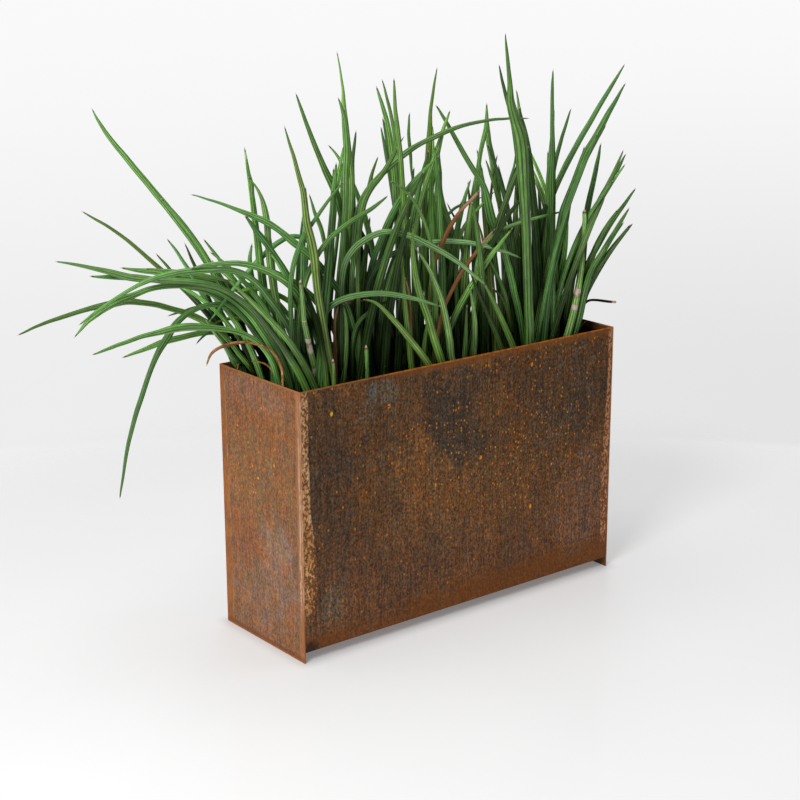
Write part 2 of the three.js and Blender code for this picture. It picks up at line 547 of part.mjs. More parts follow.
  [[310,-30,504,7.0],[310,-30,615,6.6],[311,-30,711,6.5],[315,-31,781,6.5],[322,-31,839,6.5],
   [333,-32,878,6.4],[369,-33,934,6.4],[408,-33,985,6.3],[471,-35,1068,5.8],
   [514,-36,1119,4.8],[576,-37,1191,0.9]],
  [[267,-102,504,9.2],[271,-102,587,8.6],[282,-106,715,8.5],[303,-112,841,8.4],
   [320,-116,911,8.2],[362,-122,999,7.6],[423,-130,1087,5.5],[478,-137,1162,0.9]],
  [[402,-57,504,7.0],[410,-57,578,6.6],[429,-62,724,6.5],[431,-69,853,6.0],[449,-75,941,4.6],
   [461,-81,1021,0.9]],
  [[373,-33,504,7.5],[386,-33,568,7.1],[395,-37,652,7.1],[407,-43,724,7.0],[416,-46,752,6.9],
   [451,-57,846,6.4],[478,-65,902,5.5],[510,-73,950,3.7],[545,-81,990,0.9]],
  [[375,-67,504,7.5],[384,-67,579,7.0],[420,-80,723,6.7],[478,-97,823,5.5],[544,-116,910,0.9]],
  [[338,-112,504,5.9],[345,-113,555,5.7],[363,-116,628,5.5],[382,-126,722,5.3],
   [393,-130,747,5.2],[440,-142,813,4.2],[484,-156,876,0.9]],
  [[364,-111,504,5.5],[364,-110,559,5.4],[370,-111,607,5.2],[396,-124,712,4.9],
   [420,-132,754,4.5],[488,-155,836,0.9]],
  [[398,-90,504,3.1],[393,-88,569,3.0],[394,-90,626,3.0],[399,-94,650,2.8],[411,-99,661,2.7],
   [481,-123,650,1.8]],
  [[337,-97,504,2.2],[356,-93,555,2.1],[386,-97,592,2.0],[395,-111,614,0.9]],
  [[340,-47,504,7.9],[345,-47,572,7.4],[362,-49,659,7.1],[383,-53,788,5.3],[382,-55,835,3.4],
   [376,-57,883,0.9]],
  [[304,-112,504,7.5],[317,-112,553,7.2],[345,-114,620,6.6],[353,-117,653,5.9],
   [355,-132,764,4.8]],
  [[361,-51,504,6.9],[360,-51,573,6.5],[395,-54,715,3.1],[400,-55,755,0.9]],
  ] },
  { name: 'plant_back_far_left', cell: [-421, -217, 1, 127], leaves: [
  [[-322,107,504,10.4],[-330,108,571,10.1],[-351,107,623,9.8],[-389,107,680,9.7],
   [-462,105,783,9.4],[-498,104,832,9.3],[-563,102,923,8.8],[-631,100,1008,8.0],
   [-725,96,1116,4.6],[-756,94,1176,0.9]],
  [[-377,112,504,6.8],[-397,114,567,6.6],[-458,123,670,6.4],[-491,134,727,6.3],
   [-531,147,774,6.2],[-594,170,839,5.9],[-637,189,886,5.2],[-720,225,951,0.9]],
  [[-402,26,504,6.7],[-394,26,576,6.5],[-401,26,634,6.4],[-432,23,685,6.3],[-478,18,740,6.2],
   [-529,12,782,6.0],[-580,7,807,5.9],[-642,0,827,5.6],[-750,-14,853,4.3],[-844,-28,874,0.9]],
  [[-299,93,504,5.8],[-309,92,568,5.6],[-330,93,622,5.4],[-356,98,681,5.4],[-394,107,740,5.3],
   [-438,117,777,5.2],[-492,128,796,5.1],[-587,150,818,4.1],[-668,172,835,0.9]],
  [[-366,57,504,4.5],[-360,56,580,4.4],[-364,57,646,4.3],[-386,60,708,4.3],[-422,65,762,4.2],
   [-472,70,798,4.1],[-524,75,817,3.9],[-658,91,845,0.9]],
  [[-389,107,504,4.5],[-406,107,562,4.4],[-457,110,650,4.3],[-510,122,748,4.0],
   [-597,146,860,0.9]],
  [[-402,112,504,5.7],[-409,115,563,5.5],[-428,118,611,5.4],[-488,112,727,5.1],
   [-543,104,824,4.1],[-598,95,899,0.9]],
  [[-369,112,504,4.6],[-387,114,559,4.4],[-433,123,644,4.3],[-457,138,704,4.2],
   [-474,158,764,3.9],[-495,198,863,0.9]],
  [[-382,10,504,5.6],[-389,9,581,5.4],[-428,13,708,5.1],[-453,17,764,4.9],[-512,27,851,3.5],
   [-550,35,902,0.9]],
  [[-384,76,504,6.8],[-407,76,582,6.6],[-481,74,683,6.3],[-518,72,715,6.2],[-592,67,756,6.1],
   [-689,60,786,5.9],[-774,52,794,5.6],[-875,41,786,4.5],[-973,29,768,0.9]],
  [[-311,24,504,6.8],[-328,24,567,6.6],[-383,25,666,6.4],[-414,26,707,6.3],[-447,28,738,6.3],
   [-483,30,755,6.2],[-530,32,764,6.2],[-572,34,764,6.1],[-605,36,752,6.1],[-630,38,728,6.1],
   [-670,43,664,6.0],[-725,54,526,5.5],[-739,58,474,4.7],[-754,66,380,0.9]],
  [[-320,79,504,5.7],[-322,79,556,5.6],[-335,79,599,5.4],[-358,82,647,5.3],[-385,86,688,5.2],
   [-415,89,713,5.1],[-454,94,731,4.9],[-495,99,742,4.4],[-534,104,745,3.6],
   [-596,114,733,0.9]],
  [[-334,81,504,6.9],[-342,81,541,6.7],[-374,82,616,6.4],[-400,84,651,6.4],[-436,86,671,6.3],
   [-484,89,685,6.1],[-531,92,688,5.8],[-578,96,686,5.4],[-709,108,664,0.9]],
  [[-331,64,504,6.8],[-336,64,552,6.4],[-352,68,620,6.1],[-365,70,650,5.9],[-388,73,679,5.5],
   [-416,77,702,5.0],[-446,80,714,4.2],[-474,83,715,3.1],[-516,89,700,0.9]],
  [[-371,72,504,4.5],[-374,72,568,4.3],[-391,72,618,4.2],[-417,69,658,4.1],[-449,66,686,3.9],
   [-485,63,701,3.5],[-522,59,703,2.8],[-549,56,695,1.7],[-566,53,680,0.9]],
  [[-228,26,504,5.8],[-233,26,566,5.6],[-241,26,621,5.4],[-252,25,690,5.4],[-266,22,776,5.3],
   [-282,19,835,5.3],[-301,17,870,5.3],[-324,16,885,5.2],[-351,15,885,5.2],[-377,14,879,5.1],
   [-465,8,825,4.7],[-566,-1,738,0.9]],
  [[-352,19,504,6.8],[-377,19,574,6.4],[-387,17,625,6.4],[-409,12,694,6.3],[-424,6,762,6.2],
   [-440,-5,855,5.9],[-461,-19,963,4.9],[-486,-35,1070,0.9]],
  [[-354,67,504,5.6],[-359,68,564,5.5],[-371,67,616,5.3],[-389,61,671,5.2],[-432,36,796,4.0],
   [-446,20,856,2.0],[-446,13,882,0.9]],
  [[-294,104,504,2.8],[-299,104,531,2.7],[-297,89,574,0.9]],
  [[-279,103,504,4.1],[-270,100,640,3.9],[-260,103,699,3.8],[-248,110,752,3.8],
   [-214,139,870,3.5],[-201,167,958,0.9]],
  [[-235,56,504,4.0],[-231,55,622,3.9],[-220,55,732,3.9],[-202,56,832,3.8],[-188,59,896,3.7],
   [-174,69,1007,3.0],[-179,71,1031,2.3],[-204,75,1058,0.9]],
  [[-244,10,504,5.8],[-231,10,553,5.5],[-222,15,676,5.4],[-199,24,811,5.3],[-169,30,885,5.1],
   [-137,36,946,4.4],[-92,45,1027,0.9]],
  [[-336,95,504,6.1],[-384,102,578,5.9],[-449,95,626,5.7],[-487,67,663,4.6],[-535,24,701,3.2],
   [-611,-58,763,0.9]],
  [[-380,87,504,4.1],[-390,89,610,2.6],[-402,92,645,0.9]],
  [[-353,44,504,3.4],[-359,44,603,3.2],[-366,44,629,3.2],[-383,45,647,3.2],[-408,45,660,3.1],
   [-438,45,668,3.1],[-512,47,667,2.5],[-544,47,649,1.9],[-546,48,632,1.9]],
  [[-309,89,504,2.9],[-319,89,528,2.8],[-357,92,597,2.2],[-376,94,607,1.7],[-404,97,611,1.7]],
  ] },
  { name: 'plant_back_left', cell: [-215, -1, 1, 127], leaves: [
  [[-158,82,504,4.2],[-174,80,572,4.1],[-204,82,695,4.0],[-200,89,772,3.9],[-201,103,858,3.6],
   [-222,123,951,0.9]],
  [[-189,26,504,7.3],[-207,26,547,6.9],[-197,30,658,6.9],[-196,34,724,6.9],[-180,42,832,6.8],
   [-162,51,938,6.7],[-155,61,1045,6.5],[-157,69,1119,5.8],[-172,84,1254,0.9]],
  [[-122,77,504,5.4],[-122,80,591,5.1],[-129,93,727,5.0],[-122,102,793,5.0],
   [-104,120,912,4.8],[-97,133,992,4.0],[-74,148,1070,0.9]],
  [[-86,60,504,5.3],[-86,59,559,5.2],[-86,60,658,5.0],[-87,67,790,4.9],[-98,73,866,4.4],
   [-130,84,972,0.9]],
  [[-173,17,504,7.0],[-173,17,548,6.6],[-173,25,678,6.6],[-165,31,743,6.6],[-147,44,850,6.5],
   [-145,50,888,6.5]],
  [[-67,102,504,5.1],[-61,107,575,5.1],[-51,120,642,4.9],[-36,138,718,4.2],[-24,162,801,0.9]],
  [[-132,24,504,4.1],[-136,24,576,4.0],[-151,21,686,3.6],[-181,12,795,2.3]],
  [[-31,106,504,6.6],[-28,113,569,5.3],[-12,134,655,0.9]],
  [[-65,11,504,7.1],[-64,11,630,6.9],[-63,12,777,6.6],[-67,13,900,6.5],[-74,15,988,6.2],
   [-82,16,1069,5.3],[-95,17,1130,3.6],[-116,18,1181,0.9]],
  [[-103,39,504,5.4],[-96,39,629,5.1],[-86,44,707,5.0],[-67,49,753,4.9],[-46,54,791,4.7],
   [34,72,897,0.9]],
  ] },
  { name: 'plant_back_right', cell: [1, 215, 1, 127], leaves: [
  [[196,70,504,7.2],[223,70,586,6.8],[217,77,730,5.1],[220,85,823,0.9]],
  [[45,104,504,4.8],[30,102,589,4.7],[16,102,668,4.7],[4,104,742,4.5],[7,107,822,4.5],
   [6,116,935,4.2],[-4,125,1013,3.1],[-16,131,1064,0.9]],
  [[63,85,504,4.8],[62,85,624,4.6],[61,88,772,4.5],[56,96,909,4.4],[41,105,1047,3.2],
   [47,110,1106,0.9]],
  [[29,16,504,6.2],[24,16,650,5.9],[16,14,743,5.8],[7,10,836,5.8],[4,7,904,5.7],
   [6,1,1004,5.6],[11,-7,1124,4.5],[25,-15,1215,0.9]],
  [[86,104,504,3.7],[90,102,652,3.6],[95,104,718,3.5],[106,118,832,3.5],[128,137,931,3.4],
   [148,150,986,3.1],[162,170,1063,0.9]],
  [[44,16,504,5.4],[44,15,571,5.2],[43,16,693,5.0],[43,22,818,4.7],[49,28,885,3.7],
   [48,30,910,2.8],[37,34,951,0.9]],
  [[108,10,504,5.6],[109,10,629,5.4],[107,10,685,5.2],[97,6,780,5.2],[85,3,839,5.1],
   [48,-4,945,4.5],[28,-14,1058,0.9]],
  [[172,34,504,6.0],[173,32,585,5.8],[175,34,730,5.6],[178,41,811,5.2],[179,63,945,0.9]],
  [[195,18,504,6.1],[186,17,565,5.9],[168,18,675,5.8],[169,24,768,5.7],[176,33,847,5.7],
   [192,46,947,5.4],[201,51,980,5.2],[235,66,1067,3.4],[246,74,1116,0.9]],
  [[76,45,504,4.3],[77,43,593,4.2],[79,43,675,4.2],[82,45,752,4.1],[86,50,821,4.0],
   [96,54,858,3.8],[133,60,885,3.4],[182,65,896,2.4],[233,71,901,0.9]],
  [[128,91,504,7.6],[127,91,560,7.2],[124,106,666,5.9],[132,119,722,4.0],[147,134,777,0.9]],
  [[123,35,504,6.1],[114,36,644,5.6],[97,41,763,4.9],[93,48,877,0.9]],
  [[152,23,504,6.5],[152,23,605,6.1],[152,32,734,5.2],[128,44,849,0.9]],
  ] },
  { name: 'plant_back_far_right', cell: [217, 421, 1, 127], leaves: [
  [[334,68,504,6.3],[330,67,626,6.1],[314,72,766,5.9],[302,78,833,5.8],[287,88,933,5.5],
   [282,96,998,4.7],[276,109,1094,0.9]],
  [[279,10,504,5.4],[305,10,621,5.1],[287,6,708,5.0],[246,-3,818,4.8],[196,-14,931,3.7],
   [157,-23,1005,0.9]],
  [[238,57,504,3.7],[238,56,635,3.6],[238,57,694,3.5],[239,59,789,3.5],[255,65,927,3.0],
   [274,69,996,0.9]],
  [[363,81,504,6.3],[350,81,638,6.0],[346,86,735,5.8],[343,91,795,5.6],[338,96,843,5.1],
   [313,109,964,0.9]],
  [[223,109,504,3.5],[221,108,639,3.4],[215,117,783,3.2],[207,122,819,2.9],[177,134,885,0.9]],
  [[241,68,504,4.1],[240,67,642,4.0],[237,70,776,3.3],[233,72,807,2.6],[218,74,850,0.9]],
  [[336,39,504,6.1],[336,39,554,5.9],[334,43,695,5.7],[339,52,814,5.7],[342,60,907,5.6],
   [329,76,1054,5.2],[299,95,1198,0.9]],
  [[402,44,504,6.7],[409,44,562,6.3],[424,55,632,6.3],[475,96,767,6.2],[490,117,824,6.0],
   [493,147,896,5.1],[480,193,992,0.9]],
  [[385,59,504,5.7],[386,59,564,5.6],[391,59,673,5.4],[404,60,805,5.3],[432,61,893,5.2],
   [457,62,986,4.6],[501,63,1084,0.9]],
  [[388,19,504,6.1],[397,19,642,5.7],[418,28,784,5.6],[422,34,842,5.3],[415,48,960,2.5],
   [418,53,993,0.9]],
  [[402,31,504,3.8],[409,26,603,3.7],[425,26,690,3.7],[451,31,767,3.6],[478,48,834,3.6],
   [518,71,888,3.4],[607,123,981,0.9]],
  [[323,84,504,5.1],[320,84,617,4.8],[315,90,714,4.8],[319,100,797,4.7],[339,111,877,4.3],
   [378,124,955,2.2],[385,129,983,0.9]],
  [[402,61,504,8.8],[406,64,633,8.1],[423,76,776,6.6],[423,90,907,0.9]],
  [[358,60,504,8.2],[346,62,642,7.5],[342,67,715,7.1],[344,80,857,4.1],[346,86,915,0.9]],
  ] },
];

// Direction of a centre line at each point, averaged over the spans that meet there
function lineTangents(points) {
  return points.map((point, i) => {
    const before = i > 0 ? point.clone().sub(points[i - 1]).normalize() : null;
    const after = i < points.length - 1 ? points[i + 1].clone().sub(point).normalize() : null;
    return before && after ? before.add(after).normalize() : (before || after);
  });
}

// A unit cylinder with one ring per point, each ring carried and scaled to its place on the line
function leafGeometry(line) {
  const spans = line.length - 1;
  const geometry = new THREE.CylinderGeometry(1, 1, spans, LEAF_SIDES, spans);
  const centres = line.map(([x, y, z]) => new THREE.Vector3(x, y, z));
  const tangents = lineTangents(centres);
  // Each ring's first axis is the last one made square to the new tangent, to avoid twist
  let axis = new THREE.Vector3(1, 0, 0);
  const axes = tangents.map((tangent) => {
    axis = axis.clone().addScaledVector(tangent, -axis.dot(tangent)).normalize();
    return axis;
  });
  const position = geometry.attributes.position;
  for (let i = 0; i < position.count; i++) {
    const ring = Math.round(position.getY(i) + spans / 2);
    const radius = line[ring][3];
    const crossAxis = new THREE.Vector3().crossVectors(tangents[ring], axes[ring]);
    const vertex = centres[ring].clone()
      .addScaledVector(axes[ring], position.getX(i) * radius)
      .addScaledVector(crossAxis, -position.getZ(i) * radius);
    position.setXYZ(i, vertex.x, vertex.y, vertex.z);
  }
  return geometry;
}

// Chamfered pad on the soil that the leaves of a clump grow from
function crownGeometry([x0, x1, y0, y1]) {
  const chamfer = CROWN_CHAMFER;
  const outline = [
    [x0 + chamfer, y0], [x1 - chamfer, y0], [x1, y0 + chamfer], [x1, y1 - chamfer],
    [x1 - chamfer, y1], [x0 + chamfer, y1], [x0, y1 - chamfer], [x0, y0 + chamfer],
  ];
  return alongZ(outline, SOIL_TOP + CLEAR, SOIL_TOP + CLEAR + CROWN_H);
}

function addPlants() {
  for (const { name, cell, leaves } of CLUMPS) {
    const clump = join(solid(crownGeometry(cell)),
      ...leaves.map((line) => solid(leafGeometry(line))));
    // Only the largest connected body is kept
    const [largest] = clump.decompose().sort((a, b) => b.volume() - a.volume());
    piece(insert, name, geometryOf(largest), finishes.leafGreen);
  }
}

// ---------------------------------------------------------------- assembly
addTroughSheet();
addEndPlates();
addCornerWelds();
addFloorWelds();
addFloorBearer();
addLinerLedges();
addCrossBar();
addLinerTub();
addHandles();
addFill();
addPlants();

export default group;
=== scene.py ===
"""Weathering steel planter trough with a black liner, clay pebbles, fleece, potting mix and
eight clumps of long round leaves.

The trough stands on z = 0, centred on the origin, with its length along x. The front faces
-y and the left end faces -x. Lengths are metres unless a table says otherwise.
"""
import math
import random
from functools import partial

import bmesh
import bpy
import numpy as np
from mathutils import Matrix, Vector
from mathutils import noise as perlin
from mathutils.bvhtree import BVHTree
from mathutils.geometry import delaunay_2d_cdt


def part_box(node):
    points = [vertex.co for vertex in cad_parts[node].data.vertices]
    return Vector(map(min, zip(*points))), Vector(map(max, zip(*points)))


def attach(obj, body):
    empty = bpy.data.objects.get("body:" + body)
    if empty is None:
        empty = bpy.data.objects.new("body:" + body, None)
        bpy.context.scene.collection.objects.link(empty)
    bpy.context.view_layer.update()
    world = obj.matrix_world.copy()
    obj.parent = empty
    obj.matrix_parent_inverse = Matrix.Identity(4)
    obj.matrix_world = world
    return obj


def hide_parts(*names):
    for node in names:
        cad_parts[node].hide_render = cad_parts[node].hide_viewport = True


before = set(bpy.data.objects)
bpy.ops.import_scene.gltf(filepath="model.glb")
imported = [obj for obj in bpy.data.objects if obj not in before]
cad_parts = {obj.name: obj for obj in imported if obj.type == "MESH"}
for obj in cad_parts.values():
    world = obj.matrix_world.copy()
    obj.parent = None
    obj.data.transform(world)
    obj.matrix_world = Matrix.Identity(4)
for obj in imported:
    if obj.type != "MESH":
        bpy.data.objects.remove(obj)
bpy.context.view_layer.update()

scene = bpy.context.scene
scene.view_settings.view_transform = "Standard"

MM = 0.001
SEED = 20
HALF_LENGTH = 0.45      # trough, along x
HALF_WIDTH = 0.15       # trough, along y
RIM_HEIGHT = 0.6


# ---------------------------------------------------------------- shader nodes
# The functions below add nodes to node_tree. Hex colours are multiplied by brightness.
node_tree = None
position = None         # object coordinates in the current material
brightness = 1.0


def linear(code, gain=1.0):
    """sRGB hex code to a linear colour, times gain."""
    parts = []
    for i in (1, 3, 5):
        c = int(code[i:i + 2], 16) / 255
        parts.append(gain * (c / 12.92 if c <= 0.04045 else ((c + 0.055) / 1.055) ** 2.4))
    return (*parts, 1.0)


class Scalar:
    """A number socket with arithmetic."""

    def __init__(self, socket):
        self.socket = socket

    def __add__(self, other): return calc("ADD", self, other)
    def __radd__(self, other): return calc("ADD", other, self)
    def __sub__(self, other): return calc("SUBTRACT", self, other)
    def __rsub__(self, other): return calc("SUBTRACT", other, self)
    def __mul__(self, other): return calc("MULTIPLY", self, other)
    def __truediv__(self, other): return calc("DIVIDE", self, other)
    def __abs__(self): return calc("ABSOLUTE", self)


def feed(socket, value):
    """Link or set an input from a Scalar, a socket, a hex colour or a plain value."""
    if isinstance(value, Scalar):
        value = value.socket
    if isinstance(value, str):
        value = linear(value, brightness)
    if isinstance(value, bpy.types.NodeSocket):
        node_tree.links.new(value, socket)
    else:
        socket.default_value = value


def node(kind, inputs=None, **settings):
    made = node_tree.nodes.new(kind)
    for key, value in settings.items():
        setattr(made, key, value)
    for key, value in (inputs or {}).items():
        feed(made.inputs[key], value)
    return made


def calc(operation, *values):
    return Scalar(node("ShaderNodeMath", dict(enumerate(values)), operation=operation).outputs[0])


def larger(a, b):
    return calc("MAXIMUM", a, b)


def split(vector):
    return [Scalar(out) for out in node("ShaderNodeSeparateXYZ", {0: vector}).outputs]


def join(x, y, z):
    return node("ShaderNodeCombineXYZ", {0: x, 1: y, 2: z}).outputs[0]


def mapped(at, stretch, offset):
    """Texture coordinates: at, or the object position, scaled and moved if stretch is given."""
    at = at or position
    if stretch is None:
        return at
    inputs = {"Vector": at, "Scale": stretch, "Location": offset}
    return node("ShaderNodeMapping", inputs).outputs[0]


def noise(scale=1.0, detail=2.0, rough=0.5, stretch=None, offset=(0, 0, 0), at=None):
    vector = mapped(at, stretch, offset)
    inputs = {"Vector": vector, "Scale": scale, "Detail": detail, "Roughness": rough}
    return Scalar(node("ShaderNodeTexNoise", inputs).outputs[0])


def cells(scale, stretch=None, offset=(0, 0, 0), at=None):
    """Voronoi cells: distance from the cell centre, and three random numbers per cell."""
    made = node("ShaderNodeTexVoronoi", {"Vector": mapped(at, stretch, offset), "Scale": scale})
    return Scalar(made.outputs["Distance"]), split(made.outputs["Color"])


def map_range(value, start, end, low, high, **settings):
    inputs = {"Value": value, "From Min": start, "From Max": end, "To Min": low, "To Max": high}
    return Scalar(node("ShaderNodeMapRange", inputs, **settings).outputs["Result"])


def fade(value, start, end, low=0.0, high=1.0):
    """Smooth step from low to high as value goes from start to end."""
    return map_range(value, start, end, low, high, interpolation_type="SMOOTHSTEP")


def remap(value, low, high, start=0.3, end=0.7):
    """Straight, clamped change from low to high as value goes from start to end."""
    return map_range(value, start, end, low, high, clamp=True)


def mix(factor, a, b, blend="MIX"):
    made = node("ShaderNodeMix", data_type="RGBA", blend_type=blend, clamp_factor=True)
    for index, value in ((0, factor), (6, a), (7, b)):
        feed(made.inputs[index], value)
    return made.outputs[2]


def shade(colour, factor):
    """Multiply a colour by a Scalar or by another colour."""
    if isinstance(factor, Scalar):
        factor = join(factor, factor, factor)
    return mix(1.0, colour, factor, "MULTIPLY")


def ramp(factor, stops):
    made = node("ShaderNodeValToRGB", {0: factor})
    elements = made.color_ramp.elements
    while len(elements) < len(stops):
        elements.new(0.5)
    for element, (place, colour) in zip(elements, stops.items()):
        element.position, element.color = place, linear(colour, brightness)
    return made.outputs[0]


def bump(height, distance, strength):
    inputs = {"Height": height, "Distance": distance, "Strength": strength}
    return node("ShaderNodeBump", inputs).outputs[0]


def attribute(name, output="Fac"):
    return node("ShaderNodeAttribute", attribute_name=name).outputs[output]


def surface(colour, rough, normal=None, metal=0.0, spec=0.5, **others):
    inputs = node_tree.nodes["Principled BSDF"].inputs
    feed(inputs["Base Color"], colour)
    feed(inputs["Roughness"], rough)
    feed(inputs["Metallic"], metal)
    feed(inputs["Specular IOR Level"], spec)
    if normal is not None:
        feed(inputs["Normal"], normal)
    for key, value in others.items():
        feed(inputs[key.replace("_", " ")], value)


def material(name, gain=1.0):
    """Decorator: runs the function in a new material's tree and turns its name into the material."""
    def build(paint):
        global node_tree, position, brightness
        made = bpy.data.materials.new(name)
        made.use_nodes = True
        node_tree, brightness = made.node_tree, gain
        position = node("ShaderNodeTexCoord").outputs["Object"]
        paint()
        return made
    return build


# ---------------------------------------------------------------- steel
INSIDE_STOPS = {0.3: "#4a3424", 0.55: "#684628", 0.75: "#855526"}
# speck sizes: cell scale, radius in cells, rarity, orange, yellow
SPECKS = (
    (46, 0.165, 0.655, "#f09312", "#dfa92c"),
    (84, 0.20, 0.69, "#e88710", "#c9952c"),
    (128, 0.25, 0.67, "#cc7414", "#a97a2a"),
)


def blob(across, up, wobble, centre, radii, start=0.55, end=1.15):
    """1 inside a wobbly ellipse in the plane (across, up), fading to 0 outside."""
    a, b = (across - centre[0]) / radii[0], (up - centre[1]) / radii[1]
    return fade(calc("SQRT", a * a + b * b) + wobble, start, end, 1.0, 0.0)


def rust_detail(colour, density, contrast=1.0, speck_gain=1.0):
    """Add grain, vertical streaks and specks. Gives colour, height, grain and mottle."""
    grain = noise(scale=215, detail=3, rough=0.62, stretch=(1, 1, 0.75))
    tiny = noise(scale=520, detail=2, rough=0.6, stretch=(1, 1, 0.8))
    mottle = noise(scale=74, detail=5, rough=0.66)
    streak = noise(scale=1.0, detail=3, rough=0.62, stretch=(215, 215, 11))
    # hue drifts between orange-brown and blue-grey from grain to grain
    small_hue = noise(scale=170, detail=4, rough=0.68, stretch=(1, 1, 0.7), offset=(6.0, 3.0, 8.0))
    large_hue = noise(scale=30, detail=4, rough=0.65, stretch=(1, 1, 0.5), offset=(1.0, 8.0, 2.0))
    hue = small_hue * 0.62 + large_hue * 0.38
    tint = mix(fade(hue, 0.50, 0.60), (1, 1, 1, 1), (1.38, 1.03, 0.58, 1))
    tint = mix(fade(hue, 0.49, 0.41), tint, (0.72, 0.90, 1.10, 1))
    colour = mix(0.85, colour, tint, "MULTIPLY")
    colour = shade(colour, remap(grain, 1 - 0.58 * contrast, 1 + 0.62 * contrast, 0.34, 0.66)
                   * remap(tiny, 1 - 0.26 * contrast, 1 + 0.26 * contrast, 0.30, 0.70)
                   * remap(mottle, 1 - 0.22 * contrast, 1 + 0.22 * contrast, 0.36, 0.64)
                   * remap(streak, 1 - 0.29 * contrast, 1 + 0.29 * contrast, 0.34, 0.66))
    # fine ochre grains and dark pits
    distance, (pick, strength, _) = cells(scale=210, stretch=(1, 1, 0.8))
    ochre = fade(distance, 0.12, 0.34, 1.0, 0.0) * fade(pick + density * 0.45, 0.62, 0.82)
    colour = mix(ochre * remap(strength, 0.25, 0.85, 0, 1), colour, "#a06a22")
    distance, (pick, _, _) = cells(scale=170, stretch=(1, 1, 0.6), offset=(4.0, 2.0, 1.0))
    pits = fade(distance, 0.14, 0.38, 1.0, 0.0) * fade(pick, 0.66, 0.80)
    colour = mix(pits * 0.62 * contrast, colour, "#211811")
    specks = None
    for scale, radius, rarity, orange, yellow in SPECKS:
        distance, (pick, size, tone) = cells(scale=scale, stretch=(1, 1, 0.68))
        chosen = fade(pick + density * 0.5, rarity + 0.28, rarity + 0.32)
        mask = fade(distance + (grain - 0.5) * 0.16, size * (radius * 0.95) + radius * 0.05,
                    size * (radius * 0.95) + radius * 0.42, 1.0, 0.0) * chosen
        mask = mask * remap(tone, 0.45, 1.0, 0.0, 0.6)
        gain = brightness * speck_gain
        speck = mix(fade(tone, 0.62, 0.80), linear(orange, gain), linear(yellow, gain))
        colour = mix(mask, colour, speck)
        specks = mask if specks is None else larger(specks, mask)
    height = grain * 0.5 + mottle * 0.35 + streak * 0.25 + specks * 0.5
    return colour, height, grain, mottle


# broad patches on the front face: colour, strength, centre (x, z), radii
FRONT_PATCHES = (
    ("#6c4b2f", 0.65, (-0.02, 0.26), (0.18, 0.10)),
    ("#694729", 0.65, (0.08, 0.475), (0.08, 0.07)),
    ("#694729", 0.5, (0.15, 0.27), (0.16, 0.13)),
    ("#483a2f", 0.60, (0.30, 0.43), (0.10, 0.12)),
)


